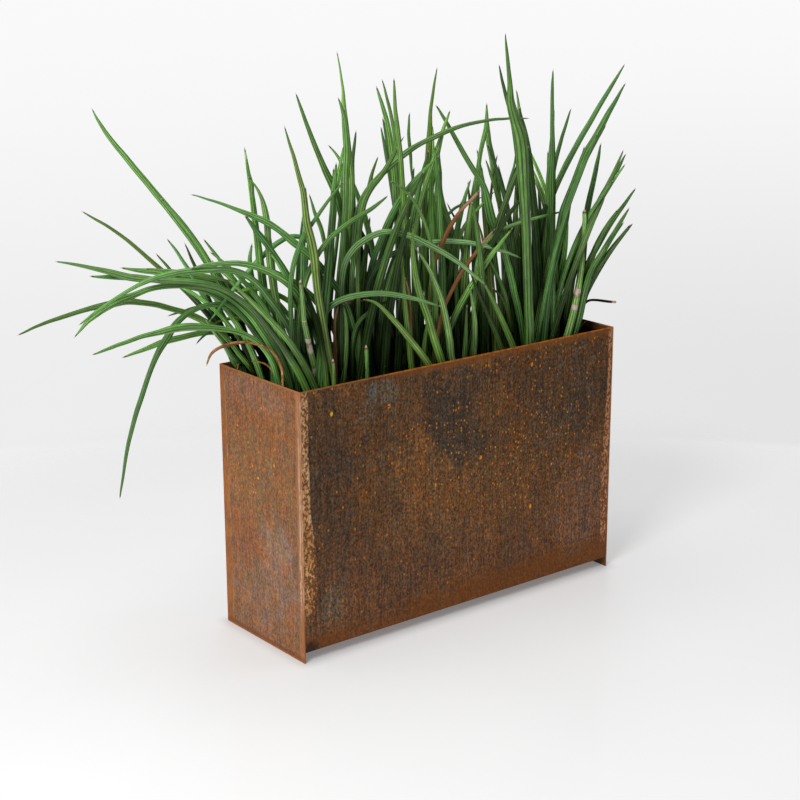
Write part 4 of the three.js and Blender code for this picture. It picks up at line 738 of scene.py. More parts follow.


# ---------------------------------------------------------------- plant tables
# Outer leaves of each clump. A leaf starts with its code: a letter for its kind, a step of
# brightness for its lower and its upper part, which is painted light and shade, and a step of
# warmth, 5 being neutral. Its points follow from crown to tip: x, y, z in mm and the radius in
# tenths of a mm.
LEAVES = {
    "back_far_left": """
g555 -323,107,504,112 -330,107,571,109 -351,107,623,106 -373,107,656,105 -396,107,689,104
-419,106,721,103 -441,106,753,101 -464,105,785,97 -485,105,816,92 -506,104,847,88
-527,103,878,86 -549,103,908,84 -572,102,937,81 -595,101,966,78 -618,100,993,73
-641,99,1021,70 -663,99,1047,66 -685,98,1074,61 -708,97,1101,54 -728,96,1127,47
-737,95,1141,40 -746,95,1155,28 -753,94,1169,14 -756,94,1176,8
g337 -376,112,504,74 -397,114,567,72 -430,118,618,70 -448,121,651,69 -465,126,683,69
-483,131,714,69 -504,138,742,68 -526,145,769,66 -549,153,794,62 -573,161,818,57
-596,170,842,54 -618,180,866,49 -640,190,889,43 -664,200,910,39 -676,205,920,37
-689,210,929,34 -702,216,938,27 -714,221,947,17 -722,225,953,9
g865 -402,26,504,73 -394,26,576,71 -401,26,634,69 -422,24,668,68 -445,22,701,68
-472,19,732,67 -503,16,760,66 -536,12,785,65 -574,8,804,64 -613,4,818,63 -652,-1,832,62
-691,-6,843,64 -729,-11,853,73 -768,-16,861,66 -787,-19,864,57 -806,-22,867,45
-825,-24,870,30 -846,-28,875,11
g555 -299,93,504,62 -309,92,568,61 -330,93,622,59 -346,95,657,58 -362,99,690,58
-382,104,721,58 -406,110,750,57 -434,116,773,57 -467,123,787,57 -502,130,798,61
-536,138,806,70 -570,146,814,80 -603,154,823,72 -620,158,825,58 -636,163,828,43
-652,167,832,29 -668,172,836,15
o554 -365,57,504,49 -359,57,580,48 -364,57,646,46 -377,58,681,46 -390,61,714,46
-411,63,745,46 -436,66,772,45 -467,69,794,45 -501,73,809,44 -536,76,820,42 -572,80,829,39
-598,83,835,35 -615,86,838,31 -633,88,841,24 -650,90,844,15 -658,91,845,10
g835 -392,107,504,84 -409,107,562,81 -437,107,609,79 -455,109,643,77 -472,112,676,63
-489,116,709,51 -506,121,740,47 -529,126,769,47 -551,132,797,46 -561,135,811,43
-571,138,826,38 -581,141,840,32 -592,144,853,20 -598,146,862,11
g564 -402,112,504,81 -414,115,561,79 -435,118,609,77 -449,117,645,83 -465,115,681,72
-483,113,717,61 -502,110,752,58 -522,107,786,58 -541,104,820,54 -558,102,844,47
-569,100,860,42 -580,98,876,37 -593,96,891,23 -600,95,900,12
d227 -369,112,504,49 -387,114,559,48 -415,118,604,47 -431,122,638,46 -444,129,671,46
-456,138,704,46 -466,148,736,46 -475,159,768,47 -483,171,800,45 -486,177,816,43
-490,184,831,38 -493,190,847,27 -497,198,864,10
g445 -381,10,504,60 -389,9,581,58 -407,10,647,57 -419,11,681,56 -432,13,715,55
-446,16,748,55 -464,19,779,53 -485,22,809,52 -505,26,838,48 -515,28,852,45 -525,29,867,40
-535,32,881,35 -545,34,895,23 -551,35,903,12
g836 -383,76,504,73 -407,76,582,71 -449,76,640,69 -473,75,672,68 -502,73,701,68
-536,71,725,69 -572,69,744,71 -610,66,759,73 -647,63,774,67 -686,60,785,66 -724,57,794,86
-762,53,793,84 -799,49,793,62 -835,46,790,52 -871,42,786,49 -906,38,782,41 -923,36,779,36
-940,34,776,30 -956,31,772,24 -975,29,768,11
g835 -311,24,504,73 -328,24,567,71 -357,24,618,69 -375,25,652,69 -397,26,684,68
-421,27,714,68 -451,28,739,67 -487,30,755,67 -525,31,763,66 -562,33,763,64 -595,35,753,63
-622,37,735,77 -642,39,709,87 -662,41,683,66 -677,44,654,56 -690,46,624,55 -702,48,593,54
-714,51,562,54 -724,53,531,49 -733,56,499,45 -740,59,465,39 -744,61,440,33 -747,62,423,31
-750,64,406,25 -753,65,389,17 -754,66,380,11
d337 -319,79,504,62 -322,79,556,60 -335,79,599,58 -352,81,634,58 -371,84,667,57
-395,87,696,56 -427,91,719,55 -462,95,733,53 -499,100,742,49 -536,105,744,41
-553,107,741,35 -571,110,738,28 -588,113,735,16 -596,114,733,11
g865 -334,81,504,74 -341,81,541,72 -355,81,573,70 -371,82,608,70 -393,83,641,70
-425,85,666,70 -463,88,681,71 -502,90,690,71 -541,93,691,69 -578,96,688,69 -615,99,685,74
-650,102,677,54 -667,104,673,45 -684,105,670,34 -701,107,666,21 -710,108,664,14
o587 -330,64,504,73 -332,64,530,71 -336,64,552,69 -344,66,589,68 -355,68,624,67
-371,71,657,64 -397,74,686,60 -429,78,707,53 -456,81,714,45 -475,83,714,39 -492,85,710,29
-508,88,704,18 -516,89,700,11
g822 -370,72,504,49 -373,72,568,47 -391,72,618,46 -414,70,653,45 -445,67,682,43
-485,63,699,40 -506,61,702,36 -526,59,701,32 -544,56,695,26 -559,54,686,16 -566,53,680,11
g164 -228,26,504,62 -233,26,566,61 -241,26,621,59 -247,26,658,59 -252,25,695,58
-258,23,731,58 -264,22,768,58 -273,20,804,58 -284,19,839,59 -305,17,872,60 -344,15,886,62
-383,13,877,63 -416,11,859,62 -446,9,839,57 -474,7,817,52 -501,5,795,46 -521,3,778,40
-534,2,766,35 -547,0,755,25 -560,-1,744,15 -566,-1,738,11
g845 -352,19,504,73 -363,19,541,71 -377,19,574,69 -384,18,610,69 -394,16,646,68
-405,13,682,68 -414,10,718,68 -422,7,754,69 -429,3,789,70 -435,-1,824,69 -442,-5,859,66
-447,-9,893,69 -456,-14,928,68 -462,-19,962,58 -468,-23,995,55 -470,-26,1012,53
-476,-28,1029,43 -481,-31,1045,31 -485,-34,1062,17 -487,-35,1071,9
d566 -354,67,504,61 -359,68,564,59 -371,67,616,58 -383,64,653,57 -395,58,690,56
-408,51,727,56 -421,44,764,58 -434,35,801,62 -440,31,820,61 -445,26,838,56 -448,21,856,46
-447,16,874,28 -447,13,884,15
b445 -294,104,504,35 -297,105,518,34 -299,104,531,33 -297,98,552,25 -297,89,574,11
d555 -277,103,504,44 -275,101,574,43 -269,101,639,43 -260,103,699,41 -253,107,733,41
-244,113,767,41 -235,120,800,41 -225,128,833,40 -215,138,866,39 -210,148,900,35
-208,153,917,31 -205,159,933,25 -203,164,950,16 -201,167,958,11
g565 -233,56,504,43 -230,55,622,42 -219,55,732,42 -202,56,832,41 -195,58,867,41
-187,60,901,41 -182,62,935,40 -177,65,970,40 -174,68,1004,38 -177,70,1022,35
-186,72,1037,29 -198,74,1051,18 -206,75,1059,9
g336 -244,10,504,63 -238,10,530,61 -231,10,553,59 -229,11,589,59 -226,12,624,59
-223,14,659,59 -219,16,694,58 -215,18,729,58 -209,20,763,58 -202,23,797,58 -192,25,831,59
-179,28,863,64 -164,31,894,76 -147,34,925,86 -127,37,955,74 -120,39,972,58 -115,41,988,44
-107,42,1004,36 -98,44,1019,23 -93,45,1027,16
g884 -334,95,504,69 -383,102,578,67 -449,95,626,65 -492,62,668,53 -520,37,690,45
-550,8,714,34 -579,-23,738,23 -611,-58,763,11
b445 -380,87,504,48 -381,87,541,47 -385,87,574,45 -387,88,592,39 -391,89,610,33
-396,91,628,22 -402,92,645,11
t555 -353,44,504,37 -353,44,536,36 -355,44,565,35 -359,44,601,35 -373,44,635,35
-406,45,658,34 -446,46,668,33 -485,46,668,31 -504,46,667,30 -522,47,662,27 -536,47,653,23
-546,48,632,19
t555 -309,89,504,32 -318,89,528,31 -332,89,549,30 -345,91,577,28 -356,92,593,26
-374,94,604,23 -394,96,609,19 -404,97,611,17
""",
    "back_far_right": """
g855 335,68,504,68 334,67,567,66 330,67,626,66 324,68,680,64 319,69,720,64 315,72,758,64
308,74,797,64 301,78,835,64 295,81,873,68 289,85,910,75 284,89,947,83 280,94,984,80
273,99,1021,69 272,101,1039,68 271,103,1058,60 272,106,1076,41 274,109,1094,21
g346 279,10,504,58 295,10,566,56 305,10,621,55 297,9,660,55 289,7,700,54 276,4,740,54
262,1,779,53 246,-2,818,52 229,-6,856,51 212,-10,894,48 196,-14,931,43 187,-16,950,38
177,-18,968,32 167,-21,987,24 157,-23,1005,11
g827 238,57,504,40 238,56,572,39 238,56,635,39 238,57,694,38 238,57,733,38 239,58,772,38
241,60,810,38 244,61,848,37 248,63,886,36 254,65,923,34 258,66,941,32 262,67,960,28
268,68,978,22 274,69,996,11
d335 364,81,504,69 358,81,574,67 350,81,638,65 348,83,677,64 347,85,716,64 345,88,755,63
343,91,794,61 339,95,832,58 332,98,870,53 326,101,899,46 322,104,918,40 318,106,936,31
314,108,955,19 313,109,964,12
d007 224,109,504,38 224,108,574,37 222,108,639,37 219,109,700,36 216,112,739,35
215,116,777,35 208,121,814,33 202,124,832,31 194,127,850,27 185,131,867,21 177,134,885,11
y587 241,68,504,45 241,67,575,44 240,67,642,44 238,68,704,42 237,69,744,40 236,70,783,37
233,71,802,33 228,73,822,27 221,74,841,17 218,74,850,12
g125 336,39,504,66 336,39,554,64 335,39,599,62 334,40,638,62 334,42,677,62 334,44,715,61
336,47,753,61 338,50,791,61 339,53,829,61 340,56,867,61 341,60,904,61 339,64,942,60
337,68,979,60 334,72,1016,58 329,76,1053,55 322,80,1090,50 312,85,1126,44 308,87,1144,41
304,90,1162,35 301,92,1180,25 298,95,1199,9
g585 402,44,504,72 404,43,535,70 409,44,562,68 416,49,600,68 426,56,637,68 439,66,674,68
453,77,710,68 467,89,747,67 480,102,783,67 489,116,820,65 493,131,857,63 493,146,894,58
488,162,930,49 485,171,948,42 482,179,965,32 480,188,983,19 480,193,992,13
g335 385,59,504,62 386,59,564,60 388,59,620,60 391,59,673,58 393,59,712,58 397,59,750,58
402,60,788,58 410,60,825,58 421,60,862,57 433,61,898,57 444,61,934,56 454,62,970,54
467,62,1006,50 474,63,1023,46 482,63,1041,41 489,63,1058,34 496,63,1076,21 501,63,1086,11
g445 389,19,504,66 391,18,577,64 397,19,642,62 401,20,681,62 406,23,719,61 413,26,756,61
418,29,794,60 421,33,832,58 421,37,870,55 419,42,908,50 417,44,927,46 416,46,946,39
416,49,965,31 417,51,983,18 418,53,993,12
b445 402,31,504,41 410,27,601,40 426,27,689,40 451,31,767,39 463,38,804,39 481,50,839,39
506,64,873,38 535,80,906,36 551,89,923,35 567,98,939,31 583,108,956,27 599,118,972,17
607,123,981,12
d875 324,84,504,55 323,83,563,53 320,84,617,52 317,85,657,52 316,89,696,51 316,92,735,51
317,97,773,51 322,101,811,50 330,107,849,49 342,112,885,47 358,118,920,41 368,121,938,36
377,124,955,30 382,127,974,18 385,129,983,12
d335 402,61,504,96 402,61,533,93 402,61,559,90 404,62,599,89 407,65,638,88 412,67,677,86
417,70,715,83 421,74,754,77 423,77,792,69 424,81,831,57 425,83,850,51 424,85,869,38
423,87,888,25 423,90,907,13
d587 358,60,504,88 356,59,544,86 351,60,580,83 347,61,620,82 345,63,659,81 343,66,698,79
342,68,736,76 343,72,774,71 343,75,812,63 344,79,850,52 345,81,869,43 345,83,887,31
346,85,906,19 346,86,915,13
""",
    "back_left": """
d567 -156,82,504,45 -173,81,572,44 -189,81,635,44 -204,82,695,43 -203,85,731,43
-201,89,767,44 -200,94,803,47 -200,100,838,51 -205,106,874,53 -210,110,891,51
-216,113,907,43 -219,117,925,31 -222,121,942,18 -224,123,950,12
g566 -189,26,504,79 -199,26,527,77 -207,26,547,75 -204,27,583,75 -201,28,619,75
-198,30,654,74 -197,32,690,74 -196,34,726,74 -192,36,760,74 -187,39,795,74 -181,41,829,74
-175,44,864,74 -169,47,898,74 -164,50,932,74 -161,53,966,77 -160,57,1001,84
-163,60,1035,91 -165,63,1069,90 -165,67,1103,80 -165,71,1136,58 -164,74,1170,33
-166,77,1195,28 -167,79,1212,24 -169,81,1229,20 -171,83,1245,13 -172,84,1254,9
g227 -122,77,504,58 -122,77,518,56 -122,77,531,55 -122,79,568,55 -123,81,605,55
-126,84,642,54 -128,88,678,54 -129,92,714,54 -127,96,750,54 -123,101,785,54
-118,105,820,54 -112,111,855,53 -107,116,890,53 -104,121,925,52 -101,127,960,52
-97,133,994,52 -94,136,1012,49 -89,139,1029,45 -83,143,1045,38 -78,146,1062,24
-75,148,1072,13
d585 -85,60,504,58 -85,59,559,56 -85,59,610,56 -86,60,658,54 -86,61,695,54 -86,63,732,55
-87,65,769,57 -90,68,805,63 -96,71,841,66 -104,74,876,67 -113,78,911,65 -119,80,929,61
-125,81,946,48 -130,83,963,30 -133,84,972,19
c445 -173,17,504,70 -173,16,527,68 -173,17,548,66 -173,18,584,66 -173,20,620,66
-173,23,656,66 -172,26,691,66 -167,30,726,66 -162,33,760,66 -155,37,794,66 -150,42,828,65
-147,44,845,65 -146,46,862,65 -145,48,880,65 -145,50,888,65
d445 -67,102,504,55 -66,102,523,55 -63,105,560,55 -58,111,597,55 -52,118,633,54
-46,126,668,51 -39,135,704,48 -32,144,739,41 -29,149,757,36 -27,154,775,29 -25,160,792,17
-24,162,801,12
t555 -131,24,504,45 -136,24,576,43 -144,24,640,42 -150,22,679,41 -161,19,718,37
-167,18,737,34 -172,16,756,29 -177,14,776,25 -181,12,795,23
d445 -31,106,504,74 -30,106,518,74 -29,111,556,65 -24,118,592,51 -20,122,610,43
-17,127,628,33 -13,132,646,19 -12,134,655,12
g856 -64,11,504,76 -64,11,569,74 -64,11,630,74 -64,11,687,72 -63,12,723,72 -63,12,760,72
-63,12,796,71 -63,13,832,71 -65,13,868,71 -67,13,904,70 -70,14,939,69 -72,14,975,68
-75,15,1010,66 -79,16,1045,65 -85,16,1079,61 -93,17,1114,54 -99,17,1130,48 -105,17,1147,42
-111,18,1164,32 -118,18,1182,13
d556 -103,39,504,59 -101,39,570,57 -96,39,629,55 -92,41,665,55 -86,44,701,55 -75,47,735,54
-60,51,767,53 -41,55,799,50 -19,60,829,46 -7,63,844,41 5,65,859,37 16,68,874,27
28,71,889,17 34,72,897,12
""",
    "back_right": """
g445 196,70,504,79 210,69,547,76 223,70,586,74 221,71,624,72 219,73,663,69 217,75,701,64
217,78,739,56 218,79,758,49 218,81,776,43 219,82,795,31 219,84,814,19 220,85,823,12
d445 46,104,504,52 31,103,589,51 17,103,668,51 4,104,742,49 5,105,780,49 7,107,817,49
7,110,854,48 7,113,891,48 6,116,928,48 3,119,965,47 -3,123,1001,44 -7,125,1019,41
-12,127,1037,32 -15,129,1055,18 -17,131,1064,11
g845 63,85,504,51 63,85,566,50 63,85,624,50 62,85,678,48 62,86,716,48 61,87,753,48
61,89,790,48 60,91,827,48 58,93,864,46 56,95,900,42 51,97,937,33 44,100,973,28
43,102,1008,40 41,105,1044,40 41,107,1062,35 43,108,1079,30 45,110,1097,19 47,110,1106,13
g837 29,16,504,67 27,17,581,65 24,16,650,64 21,16,688,63 17,15,725,63 14,13,763,63
10,12,800,63 7,10,837,62 5,8,874,62 4,6,910,63 4,4,946,65 6,2,982,72 10,0,1017,80
11,-2,1052,84 11,-5,1087,63 11,-7,1122,45 15,-10,1157,39 17,-11,1174,33 19,-13,1191,26
22,-14,1207,14 23,-15,1216,9
d585 90,104,504,40 90,103,580,39 92,103,651,39 95,104,718,37 98,107,755,37 101,112,793,37
106,117,829,37 113,124,866,37 121,131,902,37 131,139,938,37 143,147,973,35 151,153,1000,32
155,158,1018,30 159,163,1036,25 161,167,1054,16 162,170,1063,11
b665 44,16,504,58 44,15,571,56 44,15,634,56 43,16,693,55 43,17,731,54 43,19,768,53
43,21,805,52 44,24,842,49 48,27,878,44 48,29,896,39 46,31,915,33 42,33,933,24 37,34,951,12
g446 107,10,504,60 109,10,569,58 108,10,629,58 107,10,685,57 103,9,724,56 99,7,762,56
93,5,800,57 85,3,838,60 70,1,875,67 51,-2,911,73 40,-5,949,64 39,-8,986,40 36,-9,1004,31
33,-11,1022,24 30,-12,1040,16 27,-14,1058,8
d567 174,34,504,66 174,33,585,64 175,33,660,64 175,34,730,62 176,37,768,63 178,41,806,69
180,46,843,74 181,52,881,62 179,55,899,46 178,58,918,30 179,62,936,15 180,63,945,10
g255 196,18,504,66 187,18,565,64 178,18,622,64 168,18,675,62 168,20,713,62 169,23,750,62
171,26,787,65 174,30,824,71 179,34,860,82 185,39,896,88 190,44,932,78 198,49,968,64
209,55,1003,56 224,61,1037,60 233,64,1054,65 238,67,1071,59 241,70,1089,42 243,73,1107,22
244,74,1116,13
g445 78,45,504,47 78,44,592,45 80,44,675,45 82,45,752,44 84,47,790,44 88,51,826,43
100,55,860,42 133,60,884,39 156,62,891,36 181,65,895,31 207,68,898,23 233,71,901,12
d445 128,91,504,83 128,90,534,81 127,91,560,78 125,94,600,75 124,101,638,70 125,108,676,63
131,117,713,52 134,122,732,43 139,127,750,31 145,132,768,19 147,134,777,12
g585 123,35,504,66 122,35,546,64 120,35,584,62 116,36,623,61 111,37,662,61 105,38,700,59
100,40,738,57 97,42,775,52 97,44,813,44 96,45,831,37 95,46,850,27 94,48,868,17 93,48,877,12
g886 153,23,504,70 153,23,557,68 152,23,605,66 151,25,644,65 151,27,681,63 152,30,719,60
148,34,756,53 143,37,784,47 139,39,803,40 136,41,821,31 131,43,840,18 128,44,849,12
""",
    "front_far_left": """
g355 -391,-44,504,72 -396,-44,580,70 -414,-44,641,67 -431,-44,675,67 -449,-44,708,67
-470,-43,739,66 -496,-43,768,66 -525,-42,792,65 -557,-41,813,65 -592,-40,827,64
-629,-40,837,62 -665,-39,844,60 -701,-38,850,59 -736,-37,856,70 -770,-36,865,82
-803,-35,878,66 -836,-34,889,47 -860,-33,897,40 -876,-32,902,35 -893,-32,907,26
-909,-31,911,16 -917,-31,913,11
g355 -359,-50,504,84 -355,-50,565,82 -362,-50,617,79 -377,-52,652,79 -394,-54,687,79
-413,-57,721,78 -437,-61,754,77 -462,-64,785,77 -489,-69,816,76 -521,-73,841,75
-560,-78,857,74 -600,-83,864,73 -640,-88,869,72 -679,-93,872,70 -718,-99,872,67
-756,-105,869,60 -792,-111,862,45 -826,-117,852,40 -858,-123,841,40 -874,-127,835,38
-891,-130,830,33 -906,-133,823,25 -921,-136,817,15 -932,-139,812,8
g855 -370,-12,504,84 -381,-12,579,82 -407,-12,638,79 -427,-13,672,79 -449,-14,705,78
-472,-15,737,78 -499,-16,765,77 -530,-17,790,76 -565,-19,810,75 -603,-20,822,72
-641,-22,828,68 -680,-24,832,62 -717,-25,831,59 -753,-27,824,66 -788,-29,818,85
-821,-31,808,81 -844,-33,797,68 -859,-34,789,52 -871,-35,778,33 -883,-36,768,17
-891,-37,762,9
g655 -402,-25,504,72 -407,-24,555,70 -419,-25,599,68 -432,-29,636,67 -456,-35,671,67
-490,-43,700,66 -531,-52,722,66 -575,-62,737,69 -620,-73,749,78 -664,-85,759,91
-708,-97,764,87 -751,-110,765,62 -793,-124,767,52 -835,-138,765,46 -855,-145,765,44
-875,-153,764,41 -895,-160,763,31 -915,-168,762,18 -925,-171,762,12
o854 -379,-34,504,72 -381,-34,547,70 -385,-34,585,68 -391,-35,620,68 -400,-35,656,68
-408,-35,691,69 -415,-35,726,73 -422,-36,761,79 -429,-36,796,82 -434,-36,830,80
-438,-36,864,74 -441,-37,898,68 -442,-37,931,73 -448,-38,965,53 -453,-38,981,45
-460,-38,996,35 -469,-38,1011,24 -481,-38,1025,11 -487,-38,1033,9
g834 -321,-27,504,73 -311,-26,545,71 -307,-27,580,69 -318,-28,617,69 -330,-30,654,69
-343,-33,691,72 -357,-36,727,81 -373,-40,762,97 -391,-44,797,103 -410,-48,831,78
-433,-52,863,67 -458,-57,894,72 -471,-59,909,72 -485,-62,924,62 -497,-64,939,47
-510,-67,954,28 -517,-68,961,18
g765 -294,-42,504,97 -295,-41,541,95 -300,-42,573,92 -306,-43,610,91 -319,-46,647,90
-333,-49,684,89 -350,-53,720,88 -370,-57,755,86 -393,-61,789,84 -425,-66,817,81
-463,-71,839,77 -502,-76,857,71 -543,-81,869,63 -585,-87,875,51 -605,-90,877,43
-626,-93,879,35 -646,-96,878,23 -666,-99,877,11
g256 -360,-103,504,87 -367,-102,559,84 -385,-103,604,82 -405,-107,639,80 -429,-113,674,78
-457,-121,708,74 -488,-129,740,69 -521,-139,771,63 -554,-149,801,53 -571,-154,816,46
-588,-160,830,37 -605,-165,845,29 -622,-171,859,17 -630,-174,866,10
g526 -378,-98,504,88 -384,-98,554,86 -399,-98,594,83 -418,-100,630,80 -440,-102,664,74
-464,-106,698,67 -490,-110,730,55 -503,-112,746,49 -516,-114,762,40 -529,-116,778,28
-542,-119,794,17 -548,-120,802,11
s856 -342,-71,504,81 -342,-70,547,78 -347,-71,584,76 -357,-75,621,73 -371,-81,659,70
-385,-90,696,64 -399,-99,734,56 -406,-107,762,48 -411,-112,780,43 -416,-117,799,43
-422,-123,817,42 -425,-126,827,42
o445 -327,-100,504,102 -326,-100,550,99 -329,-100,591,96 -336,-100,627,96 -343,-100,662,95
-349,-100,697,94 -355,-100,732,92 -361,-100,766,87 -366,-100,800,82 -369,-100,834,86
-372,-100,868,95 -379,-100,901,94 -388,-100,934,89 -392,-100,967,68 -396,-100,1000,64
-406,-100,1033,51 -415,-100,1065,41 -420,-100,1081,36 -426,-100,1096,31 -431,-100,1112,23
-436,-100,1127,13 -438,-100,1135,8
g846 -274,-35,504,80 -274,-35,537,78 -274,-35,567,75 -274,-36,603,75 -274,-38,639,75
-274,-39,675,75 -274,-41,710,74 -273,-43,746,74 -271,-46,780,74 -268,-48,815,74
-265,-51,849,73 -263,-54,883,73 -262,-57,917,72 -261,-60,952,72 -262,-63,986,75
-263,-66,1020,84 -263,-70,1053,90 -265,-73,1087,87 -271,-77,1120,75 -275,-79,1137,59
-281,-80,1154,42 -289,-82,1170,23 -294,-83,1179,12
g045 -308,-11,504,74 -296,-11,538,72 -283,-11,568,70 -282,-12,604,70 -281,-14,640,69
-279,-15,676,70 -278,-18,711,72 -277,-20,746,81 -276,-22,782,94 -278,-25,817,103
-279,-28,852,94 -277,-30,886,81 -276,-33,921,71 -276,-37,955,63 -276,-39,981,57
-274,-41,997,50 -273,-42,1014,43 -272,-44,1031,27 -272,-45,1041,14
g135 -398,-78,504,65 -400,-78,559,63 -405,-78,608,62 -410,-79,643,61 -415,-80,679,60
-418,-82,713,58 -421,-84,748,54 -423,-86,782,52 -422,-88,816,52 -417,-90,848,54
-407,-93,879,55 -393,-95,908,51 -372,-98,933,43 -351,-101,958,37 -340,-102,970,35
-329,-104,983,31 -317,-105,994,25 -305,-107,1006,15 -299,-108,1012,10
g336 -365,-68,504,66 -380,-68,560,64 -396,-68,611,62 -397,-70,646,62 -398,-72,681,61
-397,-74,715,61 -394,-77,749,61 -389,-80,782,61 -381,-83,814,60 -368,-87,843,60
-350,-91,871,59 -328,-95,895,58 -299,-99,914,58 -269,-103,930,55 -245,-107,941,50
-229,-109,948,46 -214,-111,957,37 -200,-114,966,23 -191,-115,972,12
p446 -336,-112,504,45 -337,-114,551,44 -339,-118,592,43 -341,-120,611,39 -344,-124,630,37
-349,-128,650,37
r555 -290,-61,504,42 -290,-60,550,41 -292,-61,592,40 -294,-62,628,39 -297,-65,664,38
-299,-68,700,36 -299,-69,717,33 -296,-71,734,30 -287,-73,747,25 -261,-75,747,11
g646 -279,-60,504,86 -279,-59,540,83 -276,-60,573,81 -272,-63,610,74 -270,-67,647,66
-272,-73,685,52 -275,-76,704,42 -279,-79,723,32 -285,-82,742,19 -288,-84,752,11
p444 -238,-103,504,55 -239,-102,549,53 -241,-103,589,51 -243,-104,610,48 -245,-107,630,46
-248,-110,650,44 -249,-111,660,44
g336 -239,-70,504,55 -238,-70,568,53 -237,-70,628,53 -237,-70,683,52 -238,-71,719,52
-239,-72,754,51 -241,-73,789,51 -241,-75,823,51 -241,-77,858,53 -239,-78,892,58
-236,-80,925,69 -230,-83,959,78 -212,-85,987,70 -186,-87,1011,61 -165,-89,1038,51
-156,-91,1052,40 -147,-92,1066,28 -137,-93,1080,15 -131,-94,1088,8
a436 -235,-41,504,64 -235,-41,560,62 -235,-41,611,60 -234,-41,647,60 -234,-42,682,60
-234,-43,718,60 -235,-44,753,60 -235,-45,788,60 -232,-46,822,61 -230,-47,856,66
-226,-49,890,77 -221,-50,924,90 -208,-51,956,89 -187,-53,984,77 -159,-54,1007,67
-129,-56,1028,77 -96,-58,1047,78 -60,-59,1062,57 -21,-61,1074,61 18,-63,1085,56
60,-65,1093,44 103,-67,1097,40 148,-68,1099,35 170,-69,1098,31 193,-70,1098,28
216,-71,1096,22 242,-72,1094,9
a156 -274,-60,504,76 -274,-59,548,74 -276,-60,589,71 -278,-62,625,71 -281,-65,662,71
-283,-69,698,71 -286,-74,734,70 -288,-79,770,70 -289,-84,806,70 -284,-90,840,69
-266,-96,867,69 -238,-103,885,69 -204,-109,895,69 -167,-116,891,68 -131,-124,878,67
-98,-131,860,65 -65,-139,841,61 -33,-147,819,55 -11,-153,801,47 3,-157,788,40
17,-162,776,30 31,-166,763,18 38,-168,756,12
a335 -290,-30,504,76 -301,-29,546,73 -315,-30,582,71 -320,-36,620,71 -327,-46,659,70
-332,-58,697,69 -329,-72,732,69 -312,-88,756,68 -286,-105,768,67 -258,-123,773,65
-230,-142,774,61 -203,-162,770,55 -178,-183,763,46 -166,-194,759,39 -154,-205,754,30
-142,-216,749,18 -137,-222,747,11
d246 -244,-51,504,60 -242,-50,548,59 -242,-51,588,57 -246,-57,626,56 -250,-67,665,54
-245,-79,701,51 -224,-92,726,44 -211,-99,735,39 -198,-107,743,33 -183,-115,748,24
-167,-123,750,11
""",
